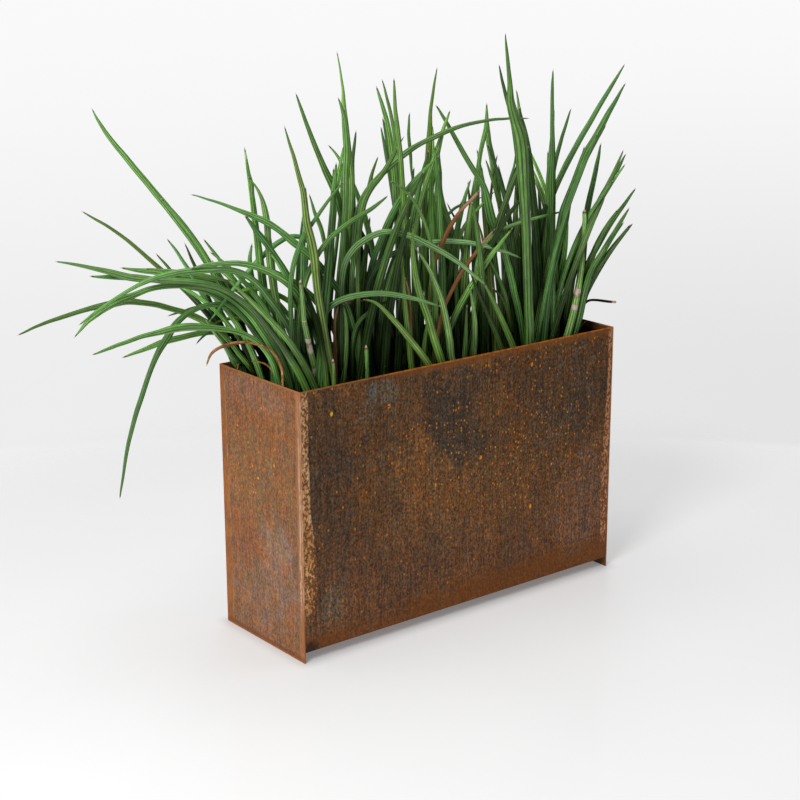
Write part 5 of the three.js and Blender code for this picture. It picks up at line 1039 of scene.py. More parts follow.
    "front_far_right": """
g855 272,-36,504,93 271,-36,540,91 266,-36,572,88 259,-36,612,88 250,-36,651,87
239,-35,690,87 228,-35,729,87 215,-35,767,90 200,-35,805,101 181,-35,841,118
163,-35,878,125 153,-35,915,105 139,-35,952,77 113,-35,985,74 89,-34,1018,69
66,-34,1051,62 44,-34,1083,54 33,-34,1099,48 21,-34,1115,38 9,-34,1131,23 3,-34,1138,15
g346 235,-112,504,130 227,-112,551,127 216,-114,593,123 213,-116,632,122 208,-118,670,122
202,-122,709,121 196,-126,748,120 189,-131,786,119 182,-136,824,118 175,-141,862,117
166,-147,899,118 157,-153,936,126 148,-159,973,143 139,-165,1010,162 129,-172,1046,160
115,-179,1082,152 94,-186,1118,125 75,-194,1153,99 67,-201,1187,65 55,-209,1222,50
49,-213,1239,46 43,-217,1256,39 37,-221,1272,31 31,-225,1289,19 28,-228,1299,9
g245 319,-12,504,81 317,-12,541,79 315,-12,575,77 316,-11,613,76 317,-10,652,76
320,-9,690,76 324,-8,728,76 325,-7,766,75 326,-6,804,75 325,-4,842,74 323,-3,880,74
320,-1,918,72 318,0,955,71 314,2,993,67 307,4,1030,62 297,6,1066,53 290,7,1084,47
285,8,1102,40 282,9,1120,33 279,10,1139,21 276,10,1149,11
g245 300,-62,504,67 301,-62,542,65 302,-62,577,63 304,-63,615,63 306,-64,653,63
308,-65,691,63 309,-67,729,62 311,-69,767,62 312,-71,804,63 312,-74,842,65 311,-76,880,73
307,-79,917,87 303,-81,955,96 302,-84,992,83 300,-87,1028,63 296,-90,1065,57
292,-93,1101,52 288,-96,1137,45 286,-98,1155,41 285,-99,1173,34 284,-101,1191,20
283,-102,1202,10
g145 310,-30,504,75 310,-29,562,73 310,-30,615,71 311,-30,654,71 311,-30,692,71
312,-30,730,70 314,-31,768,70 318,-31,805,70 323,-31,842,70 334,-32,877,71 353,-32,909,72
375,-33,940,72 396,-33,972,72 419,-34,1003,70 442,-34,1033,67 467,-35,1063,63
492,-35,1094,61 517,-36,1124,55 530,-36,1139,50 542,-37,1154,42 555,-37,1169,32
568,-37,1184,18 575,-37,1192,11
g234 267,-102,504,99 268,-102,548,96 271,-102,587,93 274,-103,625,93 277,-104,662,93
281,-105,699,93 286,-107,736,96 293,-108,772,105 300,-110,808,123 309,-112,843,139
314,-114,879,127 326,-116,913,98 340,-119,946,91 355,-121,979,91 371,-123,1011,94
393,-126,1041,82 413,-129,1071,74 434,-131,1102,63 445,-133,1117,54 456,-134,1132,42
466,-135,1147,28 477,-137,1162,12
g335 402,-57,504,76 404,-57,543,74 410,-57,578,72 416,-58,616,72 422,-59,655,71
426,-61,693,71 429,-63,731,71 430,-65,770,71 430,-67,809,74 430,-69,847,76 435,-71,885,74
442,-74,921,65 450,-76,958,57 453,-77,976,51 456,-79,994,40 458,-80,1013,23 460,-81,1022,14
g335 373,-33,504,82 379,-33,537,79 386,-33,568,77 390,-34,606,77 395,-37,644,76
400,-40,682,76 406,-43,719,76 418,-47,755,76 431,-51,790,80 446,-55,824,87 464,-59,856,90
481,-64,889,79 500,-69,920,72 509,-71,936,71 520,-74,951,64 530,-77,966,47 539,-79,983,22
544,-81,990,13
g336 376,-67,504,81 378,-66,544,78 384,-67,579,76 393,-69,616,76 402,-72,653,76
410,-76,690,78 420,-80,726,81 436,-85,760,81 455,-91,792,76 475,-96,823,68 497,-102,853,56
508,-106,868,51 520,-109,882,43 531,-112,897,33 544,-116,913,13
g335 338,-112,504,92 346,-113,555,90 360,-115,599,87 370,-117,636,95 376,-120,673,97
383,-125,710,85 396,-129,745,71 417,-135,776,63 437,-141,807,58 448,-144,822,55
458,-147,838,51 468,-150,854,43 477,-154,869,27 483,-156,879,14
g336 364,-111,504,60 364,-110,559,58 370,-111,607,56 380,-114,644,56 388,-119,681,55
399,-124,717,54 418,-131,749,52 442,-138,778,46 453,-142,793,42 464,-146,808,37
475,-151,823,27 488,-155,839,10
k007 378,-90,504,34 380,-87,572,33 393,-90,626,32 411,-98,658,32 430,-104,659,34
451,-111,655,37 471,-119,651,35 481,-123,650,31
b445 345,-97,504,30 362,-92,554,29 386,-97,592,28 395,-111,614,12
g585 340,-47,504,85 341,-47,540,83 345,-47,572,80 351,-48,610,79 359,-48,647,78
365,-49,684,76 371,-51,722,72 378,-52,759,67 382,-53,797,57 382,-54,816,51 382,-55,835,44
380,-56,854,31 377,-57,874,19 376,-57,883,12
s666 308,-112,504,109 320,-112,553,105 338,-113,595,102 349,-114,631,100 357,-116,668,96
363,-118,705,91 367,-120,743,83 368,-123,781,72 367,-126,819,60 366,-128,838,59
365,-130,857,59 363,-131,876,59 362,-132,885,59
g664 361,-51,504,76 359,-51,541,74 360,-51,573,72 370,-52,611,68 379,-52,649,62
388,-53,688,51 393,-54,707,43 396,-54,726,33 399,-55,745,19 400,-55,755,13
""",
    "front_left": """
g555 -215,-62,504,80 -221,-62,539,78 -228,-62,570,76 -231,-62,606,75 -236,-61,642,75
-243,-61,678,75 -253,-61,714,74 -268,-60,749,74 -288,-60,782,74 -311,-59,813,76
-337,-59,842,82 -366,-58,869,93 -396,-57,893,93 -426,-57,918,67 -457,-56,939,78
-492,-55,956,64 -527,-54,972,43 -561,-54,987,34 -579,-53,994,29 -596,-53,1000,25
-613,-52,1007,18 -630,-52,1012,9
g535 -195,-15,504,87 -201,-15,533,85 -207,-15,558,82 -210,-15,595,82 -212,-15,631,82
-214,-14,668,82 -216,-14,704,81 -218,-14,739,81 -220,-13,775,81 -223,-13,810,80
-225,-13,845,80 -228,-12,880,81 -234,-12,915,82 -243,-12,949,84 -255,-11,983,93
-273,-11,1015,80 -288,-10,1047,65 -303,-10,1079,57 -316,-9,1111,48 -323,-9,1127,43
-329,-9,1143,38 -335,-8,1159,32 -341,-8,1175,20 -345,-8,1185,10
g586 -81,-35,504,66 -82,-35,536,64 -85,-35,564,62 -92,-34,605,48 -95,-34,625,39
-99,-34,645,25 -103,-34,665,12
b237 -105,-107,504,73 -113,-106,550,71 -123,-107,590,69 -129,-109,628,68 -137,-113,665,66
-145,-117,703,63 -154,-123,740,58 -162,-129,777,50 -166,-132,796,45 -169,-135,814,38
-173,-138,833,29 -177,-142,851,17 -179,-144,860,11
l336 -44,-112,504,82 -59,-115,557,79 -88,-120,595,77 -117,-123,630,73 -148,-127,664,68
-181,-133,698,60 -215,-139,730,48 -233,-143,746,40 -253,-146,760,31 -275,-150,768,18
-287,-152,771,11
g576 -66,-77,504,69 -66,-76,545,67 -67,-77,581,65 -67,-81,620,55 -68,-85,640,50
-68,-89,659,41 -66,-93,679,31 -64,-98,697,18 -63,-100,707,12
b437 -22,-112,504,97 -29,-111,552,95 -44,-112,593,92 -61,-115,631,90 -79,-121,669,88
-97,-128,707,84 -119,-136,745,80 -138,-145,782,73 -153,-154,820,63 -165,-164,857,50
-170,-170,875,41 -174,-175,893,29 -178,-181,911,17 -180,-184,920,11
b255 -34,-80,504,85 -27,-79,552,83 -15,-80,594,80 -6,-84,629,80 4,-90,664,78 17,-97,697,77
33,-105,729,74 49,-114,759,70 67,-123,789,64 84,-133,818,54 94,-139,832,46 103,-144,846,37
113,-150,860,25 122,-156,874,12
t555 -50,-61,504,60 -45,-59,580,58 -39,-59,652,58 -34,-61,718,57 -34,-65,754,56
-33,-70,791,55 -25,-77,825,54 -13,-85,857,52 0,-94,888,49 18,-103,916,42 29,-108,928,36
40,-114,940,33 52,-119,953,31 57,-122,959,31
r355 -51,-93,504,50 -48,-92,573,49 -40,-93,634,47 -33,-93,669,47 -23,-94,703,47
-6,-96,733,46 14,-97,762,46 36,-99,790,44 62,-101,816,40 74,-102,829,36 88,-103,841,30
102,-104,854,22 116,-105,865,11
g445 -48,-13,504,67 -48,-12,570,65 -51,-12,632,65 -54,-13,690,63 -57,-14,727,63
-61,-15,764,63 -66,-18,801,63 -71,-20,837,62 -77,-23,874,62 -84,-26,910,62 -90,-29,946,61
-96,-32,982,60 -102,-36,1017,59 -108,-39,1052,56 -117,-43,1087,51 -128,-47,1122,43
-137,-50,1147,37 -144,-52,1164,33 -150,-54,1180,27 -157,-56,1197,15 -161,-57,1205,10
b236 -86,-67,504,70 -87,-66,568,68 -90,-66,628,68 -95,-67,683,66 -98,-69,720,66
-103,-71,757,65 -108,-75,794,65 -113,-79,830,65 -119,-84,867,64 -126,-89,903,64
-133,-94,939,63 -140,-100,975,62 -147,-105,1010,61 -155,-112,1046,60 -164,-118,1080,57
-174,-125,1115,53 -184,-131,1149,46 -188,-135,1166,42 -192,-139,1183,36 -195,-142,1200,26
-199,-146,1216,12
g256 -63,-53,504,58 -64,-53,583,56 -67,-53,654,55 -69,-52,690,54 -71,-52,726,54
-72,-52,762,54 -71,-52,798,54 -71,-51,833,54 -67,-51,868,54 -61,-51,902,53 -51,-50,935,54
-39,-50,968,55 -25,-49,999,58 -11,-49,1031,58 4,-48,1063,54 10,-48,1079,49 17,-48,1095,41
25,-48,1110,30 33,-47,1126,14
g445 -164,-34,504,78 -172,-33,559,76 -181,-33,610,76 -191,-34,658,73 -192,-36,695,73
-193,-40,731,73 -192,-44,767,72 -189,-50,803,72 -181,-55,836,72 -170,-62,868,72
-158,-68,900,71 -145,-76,931,69 -128,-83,960,65 -107,-91,986,60 -90,-97,1004,52
-78,-101,1016,42 -66,-105,1027,29 -50,-111,1042,10
p854 -53,-79,504,60 -39,-78,582,59 -29,-79,653,57 -33,-82,691,57 -39,-87,729,56
-48,-94,768,56 -57,-101,806,55 -69,-109,845,54 -86,-117,882,52 -109,-126,919,49
-137,-136,954,43 -154,-141,970,38 -174,-146,985,31 -195,-151,998,23 -218,-157,1009,11
t555 -104,-79,504,34 -103,-78,561,33 -102,-78,614,33 -102,-79,664,32 -104,-81,701,31
-106,-82,720,30 -110,-84,739,27 -115,-85,758,23 -122,-87,777,19 -126,-88,786,18
g226 -153,-13,504,62 -152,-13,559,61 -150,-13,611,61 -147,-13,658,59 -144,-12,695,58
-140,-12,731,58 -132,-12,766,57 -120,-11,799,55 -106,-11,832,53 -90,-11,864,47
-81,-10,880,43 -72,-10,895,37 -63,-10,911,29 -53,-10,926,17 -48,-9,934,11
a065 -190,-63,504,64 -198,-63,562,62 -205,-63,616,62 -213,-63,667,60 -213,-63,702,60
-212,-64,737,60 -208,-64,772,60 -194,-65,802,60 -168,-66,825,60 -131,-67,838,60
-90,-68,845,60 -48,-69,848,59 -4,-70,846,59 41,-71,840,57 86,-72,830,54 131,-74,816,47
153,-74,808,42 176,-75,800,35 198,-75,791,25 220,-76,781,12
""",
    "front_right": """
l545 35,-98,504,91 19,-97,549,89 -2,-98,587,86 -12,-103,627,84 -26,-111,667,80
-43,-120,707,75 -64,-131,746,68 -90,-142,785,57 -104,-149,804,50 -120,-155,822,41
-137,-162,840,31 -156,-169,858,18 -165,-173,867,11
g115 41,-75,504,55 40,-74,544,54 37,-75,580,52 33,-78,619,44 30,-81,638,38 26,-83,658,28
21,-87,678,17 19,-88,688,12
g225 18,-112,504,67 18,-114,552,65 19,-117,596,63 19,-120,634,53 18,-122,654,45
17,-124,673,37 16,-126,692,25 15,-129,712,12
l335 61,-100,504,80 61,-99,548,78 60,-100,588,76 59,-104,626,69 53,-111,666,58
47,-115,686,51 40,-120,706,42 32,-124,726,32 22,-130,746,18 17,-132,756,12
g766 71,-31,504,54 71,-32,565,53 70,-32,622,53 69,-31,675,51 68,-31,713,51 67,-29,750,50
71,-28,787,50 76,-26,823,49 90,-25,856,47 119,-23,883,42 136,-22,895,38 153,-21,907,33
170,-20,919,24 189,-18,929,12
a856 102,-56,504,54 100,-56,561,53 99,-56,614,53 98,-56,663,51 99,-56,700,51
100,-56,737,51 104,-57,774,51 116,-57,807,50 143,-58,833,50 181,-58,850,49 226,-59,858,47
273,-59,863,43 297,-59,865,38 321,-60,867,33 345,-60,869,25 370,-60,870,12
g317 163,-102,504,79 157,-101,551,77 141,-102,588,75 118,-107,628,70 91,-114,668,64
63,-124,709,53 49,-129,729,46 35,-134,749,37 22,-140,769,25 8,-146,789,12
g446 194,-105,504,81 187,-104,554,79 171,-105,594,77 147,-109,634,71 120,-116,675,61
98,-123,705,52 83,-127,725,43 67,-132,744,32 52,-137,764,19 45,-140,774,12
g446 202,-62,504,64 204,-61,552,62 203,-62,595,60 198,-65,635,59 185,-70,676,55
167,-76,717,49 155,-79,737,45 141,-82,757,38 126,-86,777,30 111,-90,796,18 104,-92,805,12
p037 202,-74,504,44 206,-73,549,42 205,-74,587,41 192,-76,627,39 177,-79,666,36
167,-80,685,32 153,-82,704,27 125,-85,728,23
""",
}

# Inner leaves that fill the clumps: code, radius, then x, y, z of each point, all in mm.
FILL = {
    "back_far_left": """
b224 5.8 -295,83,504 -295,83,556 -294,82,609 -293,81,661 -292,79,713 -290,77,766 -288,73,818
-284,68,870 -280,62,921 -276,56,960
g585 9.9 -396,71,504 -400,74,543 -405,78,582 -411,83,621 -419,89,660 -427,96,698 -437,104,735
-448,113,772 -461,124,808 -471,133,834
d885 9.2 -310,34,504 -310,34,552 -310,33,599 -310,32,647 -311,30,694 -311,28,742 -312,25,790
-313,22,837 -314,17,884 -315,12,920
l582 6.8 -401,100,504 -406,101,537 -412,103,569 -419,105,601 -428,107,633 -438,109,664
-450,112,695 -463,116,725 -477,119,755 -489,122,776
g586 5.8 -253,58,504 -260,60,547 -269,63,589 -283,66,630 -300,69,669 -323,71,706 -352,71,739
-385,70,766 -423,65,787 -454,60,796
g886 7.7 -398,40,504 -403,41,540 -411,43,576 -420,46,611 -433,48,646 -448,51,679 -466,54,711
-487,57,741 -512,59,768 -533,61,785
l335 7.5 -363,76,504 -364,75,554 -367,74,605 -370,74,655 -373,73,705 -378,73,755 -383,73,805
-389,73,855 -396,73,905 -402,74,943
d585 10.0 -322,13,504 -327,15,538 -333,18,572 -341,22,605 -349,26,638 -359,31,670 -370,38,702
-383,45,734 -396,53,764 -407,60,786
b074 5.6 -387,61,504 -399,58,548 -414,56,591 -433,56,633 -456,57,673 -482,60,710 -512,65,745
-545,74,775 -581,87,802 -608,99,818
b555 8.8 -256,24,504 -255,24,568 -253,25,633 -250,27,697 -245,29,761 -237,32,825 -226,37,888
-211,44,951 -191,53,1012 -174,61,1056
l555 8.9 -349,110,504 -351,110,569 -354,109,634 -358,107,699 -363,106,764 -370,104,829
-378,101,894 -387,98,958 -399,94,1022 -408,91,1070
l335 7.5 -325,98,504 -327,96,559 -330,94,614 -334,91,669 -339,88,724 -346,85,779 -354,82,834
-364,78,888 -376,75,942 -386,73,982
o885 6.4 -381,47,504 -392,54,542 -406,63,578 -423,75,612 -443,89,644 -466,105,672 -491,123,697
-520,144,716 -550,166,729 -574,183,735
g565 6.9 -389,95,504 -401,95,565 -416,94,625 -434,93,685 -457,92,743 -483,90,799 -514,88,854
-549,85,905 -588,82,954 -620,79,988
""",
    "back_far_right": """
b335 8.2 326,11,504 327,13,573 330,16,642 332,20,711 335,26,780 338,33,849 341,43,917
343,55,985 346,69,1053 346,82,1103
g115 5.7 269,94,504 270,93,560 271,91,616 274,89,672 278,85,727 284,81,783 293,75,838
306,70,892 322,64,945 337,60,984
o335 9.3 237,17,504 241,18,554 246,19,603 252,19,652 260,19,701 270,18,750 282,16,798
297,12,846 313,6,892 327,0,926
g875 6.2 286,50,504 285,55,562 284,62,619 283,69,677 282,79,734 280,89,791 279,101,847
277,115,903 275,130,959 274,142,1001
g136 6.4 332,89,504 336,90,572 341,92,640 348,95,708 356,99,775 366,105,842 378,113,909
392,124,974 408,139,1039 420,152,1087
g335 5.9 352,92,504 360,88,571 370,83,638 382,77,704 397,69,770 416,58,834 437,46,898
461,31,959 489,14,1018 512,-1,1061
""",
    "back_left": """
g336 9.6 -12,27,504 -6,32,559 2,39,613 12,48,666 24,62,718 37,80,768 53,104,816 69,133,860
85,169,898 97,200,923
g006 6.8 -14,60,504 -18,64,552 -23,70,599 -30,77,646 -38,85,693 -47,95,739 -59,107,784
-73,120,828 -89,136,871 -103,149,901
d555 6.6 -147,64,504 -146,58,556 -143,50,607 -138,42,658 -131,33,708 -122,25,759 -110,17,809
-95,11,858 -78,7,907 -64,7,943
g565 9.3 -168,44,504 -176,45,549 -187,47,593 -202,51,636 -220,56,677 -243,64,715 -271,76,749
-303,91,777 -339,110,798 -367,127,807
d446 6.8 -26,11,504 -27,16,571 -28,21,638 -29,28,704 -31,36,771 -33,46,837 -35,58,903
-38,71,969 -41,87,1034 -43,100,1083
b335 6.7 -191,69,504 -193,73,534 -197,77,563 -202,82,593 -208,88,621 -215,95,650 -224,103,677
-235,112,704 -248,122,729 -259,130,747
""",
    "back_right": """
l585 9.9 41,31,504 43,32,564 45,32,625 49,34,685 53,35,746 59,38,806 66,42,866 74,47,926
83,53,985 90,59,1030
o335 6.1 147,77,504 152,78,559 160,80,614 169,82,669 180,86,723 194,92,777 210,99,830
229,108,881 250,120,931 268,131,967
o884 7.7 109,27,504 109,27,557 108,27,610 106,26,662 102,24,715 95,21,767 84,16,818 70,9,869
51,-1,917 34,-10,952
o815 8.5 97,9,504 99,1,559 102,-9,613 106,-21,667 113,-36,720 121,-53,772 133,-73,822
148,-94,871 167,-118,917 183,-137,950
l225 6.4 52,7,504 53,4,553 55,0,601 57,-4,650 58,-10,698 60,-17,746 61,-25,794 62,-33,842
63,-43,890 63,-51,926
g226 6.4 20,61,504 18,66,573 17,72,641 16,80,709 15,90,777 15,103,844 15,118,911 16,137,978
19,158,1043 21,176,1091
d886 8.7 10,36,504 11,37,573 14,37,642 18,38,711 24,39,779 34,41,848 47,43,915 64,45,982
86,48,1047 106,51,1095
d586 8.2 74,19,504 77,20,557 80,22,610 86,24,662 93,26,715 103,29,766 115,31,818 131,34,868
150,37,917 167,38,953
""",
    "front_far_left": """
g745 7.0 -370,-39,504 -379,-42,553 -391,-43,602 -406,-45,649 -425,-44,696 -447,-42,741
-473,-37,783 -502,-28,823 -535,-16,859 -561,-3,883
g425 9.9 -364,-92,504 -360,-92,566 -355,-92,628 -347,-90,690 -338,-87,751 -325,-81,811
-311,-72,871 -294,-58,929 -275,-38,985 -261,-20,1026
g556 8.7 -321,-16,504 -333,-13,550 -347,-8,594 -364,-1,638 -384,8,679 -407,20,719 -431,36,756
-457,55,791 -485,78,822 -506,97,842
l573 6.1 -331,-47,504 -334,-46,550 -338,-45,596 -344,-45,642 -354,-44,687 -366,-44,731
-383,-45,774 -405,-48,815 -431,-52,853 -454,-58,878
b776 6.3 -231,-52,504 -244,-43,555 -260,-34,605 -283,-25,653 -313,-18,697 -350,-14,735
-393,-15,767 -440,-22,790 -490,-36,802 -528,-51,803
d016 7.5 -247,-33,481 -246,-36,527 -245,-40,572 -244,-45,618 -242,-51,663 -240,-58,708
-238,-66,753 -235,-75,798 -232,-86,842 -229,-95,875
d407 6.5 -349,-106,504 -349,-106,541 -350,-106,578 -352,-106,616 -357,-106,653 -363,-106,689
-372,-107,725 -385,-108,760 -401,-111,794 -416,-113,817
g026 9.2 -260,-90,504 -254,-94,566 -247,-98,627 -237,-103,689 -225,-109,749 -210,-116,809
-192,-123,868 -170,-131,925 -143,-140,981 -121,-147,1021
""",
    "front_far_right": """
d335 6.0 400,-28,504 403,-30,554 408,-33,603 414,-36,652 422,-39,701 432,-41,750 443,-42,798
455,-43,846 470,-42,894 482,-40,929
o885 6.4 344,-71,504 345,-70,567 346,-66,629 348,-60,692 351,-49,754 354,-31,814 358,-7,871
362,26,925 366,68,971 368,105,1000
d585 7.2 345,-23,504 352,-29,562 361,-37,620 371,-47,677 383,-60,734 397,-76,789 411,-95,843
427,-117,896 444,-142,946 457,-164,983
o485 8.0 268,-66,504 274,-67,560 282,-69,616 292,-72,672 304,-75,727 317,-78,782 333,-83,836
351,-88,889 371,-95,941 388,-101,980
o144 6.7 279,-98,504 289,-105,566 301,-112,627 318,-119,687 337,-127,747 360,-133,805
386,-138,862 416,-140,918 449,-141,971 475,-139,1011
d887 10.0 366,-71,504 367,-71,545 369,-72,586 372,-73,627 377,-75,668 382,-77,709 390,-80,749
400,-83,789 412,-88,828 423,-92,856
o864 8.3 326,-31,504 327,-31,573 329,-32,641 331,-32,710 334,-32,778 338,-32,847 342,-31,915
348,-30,983 355,-28,1052 361,-26,1103
b335 8.2 393,-44,504 398,-48,540 404,-53,576 411,-59,612 420,-66,647 431,-73,681 444,-81,715
458,-89,748 474,-97,779 487,-104,803
d555 5.6 396,-12,504 396,-13,558 396,-14,612 396,-17,665 396,-22,719 394,-30,772 391,-41,825
385,-57,876 375,-76,925 365,-94,960
g535 5.6 252,-89,504 257,-93,570 264,-98,635 273,-104,700 283,-112,764 296,-120,828
311,-130,892 329,-142,954 349,-155,1016 365,-165,1061
d235 6.3 258,-30,504 257,-30,570 254,-31,637 248,-32,703 238,-34,768 224,-37,833 204,-43,896
177,-51,956 143,-64,1012 114,-76,1050
g556 8.1 387,-67,504 389,-69,534 393,-73,565 397,-77,595 402,-82,625 408,-88,654 415,-96,683
424,-105,711 433,-116,738 441,-125,757
d335 5.7 359,-95,504 364,-98,546 370,-102,588 377,-107,629 386,-113,670 397,-121,710
410,-130,750 426,-141,788 443,-154,824 458,-165,850
g335 7.0 376,-52,504 383,-57,545 392,-63,585 403,-70,625 415,-79,663 430,-90,701 446,-102,737
465,-116,772 485,-131,805 502,-143,828
b335 6.3 351,-8,504 358,-8,571 366,-8,638 379,-7,704 395,-7,770 415,-7,834 441,-7,897
473,-8,956 512,-10,1011 544,-12,1050
d335 8.1 401,-38,504 407,-44,547 414,-51,590 426,-58,632 441,-66,673 462,-73,711 488,-78,747
519,-80,778 555,-77,803 584,-71,818
d125 10.0 323,-40,504 321,-39,574 319,-37,644 315,-35,714 311,-32,784 306,-28,854 299,-24,923
290,-19,992 279,-12,1061 270,-7,1113
g825 7.3 298,-102,504 300,-100,573 303,-96,641 305,-92,709 309,-87,778 312,-81,846 317,-75,914
322,-68,982 327,-60,1050 331,-53,1101
g855 6.9 314,-65,504 318,-69,558 323,-74,612 330,-81,666 339,-89,718 350,-101,771 364,-114,821
380,-131,870 398,-152,917 414,-169,951
l334 9.9 378,-91,504 379,-92,549 382,-93,593 386,-95,637 392,-99,681 401,-103,725 414,-109,767
431,-116,808 452,-124,846 471,-131,873
g335 8.6 388,-29,504 391,-32,550 396,-35,597 402,-39,643 410,-43,688 422,-48,733 437,-53,777
455,-57,820 478,-61,860 497,-62,889
""",
    "front_left": """
l815 7.8 -70,-8,504 -67,-6,561 -63,-3,619 -57,1,676 -50,7,733 -41,14,789 -29,22,845
-15,33,900 1,45,954 16,56,993
g036 6.0 -179,-57,504 -178,-58,550 -177,-58,596 -174,-60,642 -170,-62,688 -163,-65,733
-154,-71,778 -142,-79,822 -127,-90,864 -113,-101,894
d276 7.8 -107,-34,504 -103,-33,566 -97,-32,629 -91,-30,691 -82,-29,753 -72,-28,815 -59,-28,876
-44,-27,937 -26,-27,997 -11,-28,1041
d867 7.9 -207,-27,504 -207,-29,552 -207,-31,600 -207,-34,648 -207,-37,697 -207,-42,745
-206,-47,792 -205,-54,840 -204,-62,888 -203,-68,923
d105 7.2 -166,-22,504 -166,-21,556 -166,-18,607 -165,-14,659 -164,-7,710 -162,3,761
-160,17,811 -155,36,859 -148,59,904 -142,80,936
d016 9.3 -185,-84,504 -186,-89,556 -188,-96,607 -189,-104,658 -191,-114,709 -192,-127,760
-194,-142,809 -196,-160,858 -198,-181,905 -200,-199,940
""",
    "front_right": """
g555 7.6 21,-44,504 19,-47,568 15,-49,631 11,-52,695 6,-56,759 0,-60,822 -8,-64,885
-16,-69,948 -26,-73,1011 -34,-77,1058
o436 9.4 132,-98,504 133,-92,562 135,-85,620 138,-75,678 142,-62,734 149,-46,790 159,-26,844
173,-2,895 192,26,943 209,49,976
g156 10.4 71,-42,504 71,-43,554 72,-44,603 73,-46,653 74,-48,703 75,-51,752 76,-55,802
77,-59,851 78,-65,901 79,-71,938
g885 7.4 24,-19,504 24,-16,569 23,-12,634 23,-7,699 24,-1,764 27,6,829 31,14,893 37,22,958
45,30,1022 54,36,1069
d057 8.1 96,-96,504 92,-100,557 86,-104,610 80,-110,662 71,-117,714 60,-125,765 46,-135,816
29,-146,865 9,-159,913 -8,-169,947
o825 8.0 94,-25,504 102,-29,567 111,-33,629 122,-39,691 135,-45,753 150,-52,814 167,-61,874
186,-71,934 207,-82,993 224,-91,1036
""",
}

# Dry flower stalks: three over the left part, one in the middle of the left front clump.
# Base radius, then x, y, z of each point, all in mm.
STALKS = """
stalk 3.4 -434,-68,504 -434,-68,594 -438,-69,638 -460,-69,673 -494,-70,692 -538,-70,705
-581,-71,704 -608,-71,694 -618,-72,675
stalk 3 -413,-22,504 -413,-22,578 -423,-23,608 -446,-25,634 -481,-26,647
stalk 3.2 -286,-52,504 -286,-52,567 -291,-54,645 -286,-55,714 -276,-57,741 -246,-58,748
-210,-60,739
stalk 2.6 -436,98,504 -436,98,603 -420,98,622 -404,98,631
"""

LEAF_LIGHT_STEPS = (0.08, 0.20, 0.38, 0.60, 0.80, 1.0, 1.26, 1.60, 2.05)    # painted light and shade: brightness by step
# colour by kind; t and r are dry, p and y dry at the tip, c and k blunt, s scarred
KIND = {
    "g": "#5a8440", "b": "#6a9a46", "o": "#64803e", "d": "#456c35", "t": "#667c3f",
    "r": "#5f5c36", "l": "#7da856", "p": "#62843c", "y": "#8a9236", "a": "#6c9458",
    "c": "#66853f", "k": "#415b31", "s": "#668b4c",
}
# scars: place and width as shares of the leaf, and strength
LEFT_SCARS = ((0.32, 0.045, 0.95), (0.49, 0.030, 1.1), (0.56, 0.026, 0.95), (0.70, 0.010, 0.9))
RIGHT_SCARS = ((0.405, 0.022, 1.1), (0.500, 0.026, 1.1), (0.455, 0.008, 0.8))
LEAF_GAIN = 1.36
LEAF_SIDES = 16


def read_table(text):
    """A list of (code, rows of numbers). A word starting with a letter begins an entry."""
    entries = []
    for word in text.split():
        if word[0].isalpha():
            entries.append((word, []))
        else:
            entries[-1][1].append([float(number) for number in word.split(",")])
    return entries


def leaves_of(clump):
    """Code, points and radii (one each, or a single one) of every leaf, in metres."""
    for code, rows in read_table(LEAVES[clump]):
        rows = np.array(rows)
        yield code, rows[:, :3] * MM, rows[:, 3] * 0.1 * MM
    for code, rows in read_table(FILL[clump]):
        yield code, np.array(rows[1:]) * MM, rows[0][0] * MM


# ---------------------------------------------------------------- leaves
def leaf_profile(kind, radii, points, along, phase):
    """Radius along the leaf, as a share of its largest."""
    length = along[-1]
    from_tip = length - along
    if np.ndim(radii):
        arc = arc_lengths(points)
        profile = np.interp(along / length * arc[-1], arc, radii) / radii.max()
        soften(profile, 3)
    else:
        profile = 1.06 * (1 - np.exp(-(from_tip + 0.0125) / (10.2 * radii)))
    if kind not in "ck":
        profile = profile * (1 - 0.80 * np.exp(-from_tip / 0.0030))
    profile = profile * (1 + 0.10 * np.exp(-along / 0.03))
    # slow swells along the leaf
    return profile * (1 + 0.020 * np.sin(along * 21 + phase)
                      + 0.015 * np.sin(along * 57 + phase * 2.3))


def leaf_dryness(kind, along):
    length = along[-1]
    from_tip = length - along
    if kind == "t":
        return np.clip(1.15 - from_tip / (0.62 * length if length > 0.17 else 0.034), 0, 1)
    if kind == "r":
        return np.clip(1.35 - from_tip / (0.80 * length), 0, 1)
    if kind in "py":
        return np.clip(1.0 - from_tip / 0.014, 0, 1)
    return np.zeros(len(along))


def leaf_scars(kind, along, on_left):
    scars = np.zeros(len(along))
    if kind == "s":
        for place, width, strength in LEFT_SCARS if on_left else RIGHT_SCARS:
            bell = np.exp(-((along / along[-1] - place) / width) ** 2)
            scars = np.maximum(scars, strength * bell)
    return scars


def leaf_colours(rng, code, along):
    """One colour for each ring, its painted light and shade going from the lower step to the upper.
    """
    low, high = (math.log(LEAF_LIGHT_STEPS[int(digit)]) for digit in code[1:3])
    warmth = int(code[3]) - 5
    colour = np.array(linear(KIND[code[0]], LEAF_GAIN)[:3]) * rng.uniform(0.84, 1.16)
    colour = colour * np.array([rng.uniform(0.92, 1.10), 1.0, rng.uniform(0.86, 1.14)])
    colour = colour * np.array([1.0 + 0.10 * warmth, 1.0, 1.0 - 0.12 * warmth])
    t = np.clip((along / along[-1] - 0.28) / 0.34, 0, 1)
    t = t * t * (3 - 2 * t)
    # painted light and shade: the lower and upper steps scale the leaf colour
    colours = colour[None] * np.exp(low + (high - low) * t)[:, None]
    return np.hstack([colours, np.ones((len(along), 1))])


def per_vertex(*columns):
    """Broadcast columns over rings and sides into one row for each vertex."""
    shape = (max(len(column) for column in columns), LEAF_SIDES)
    return np.stack([np.broadcast_to(column, shape) for column in columns], -1).reshape(-1, 3)


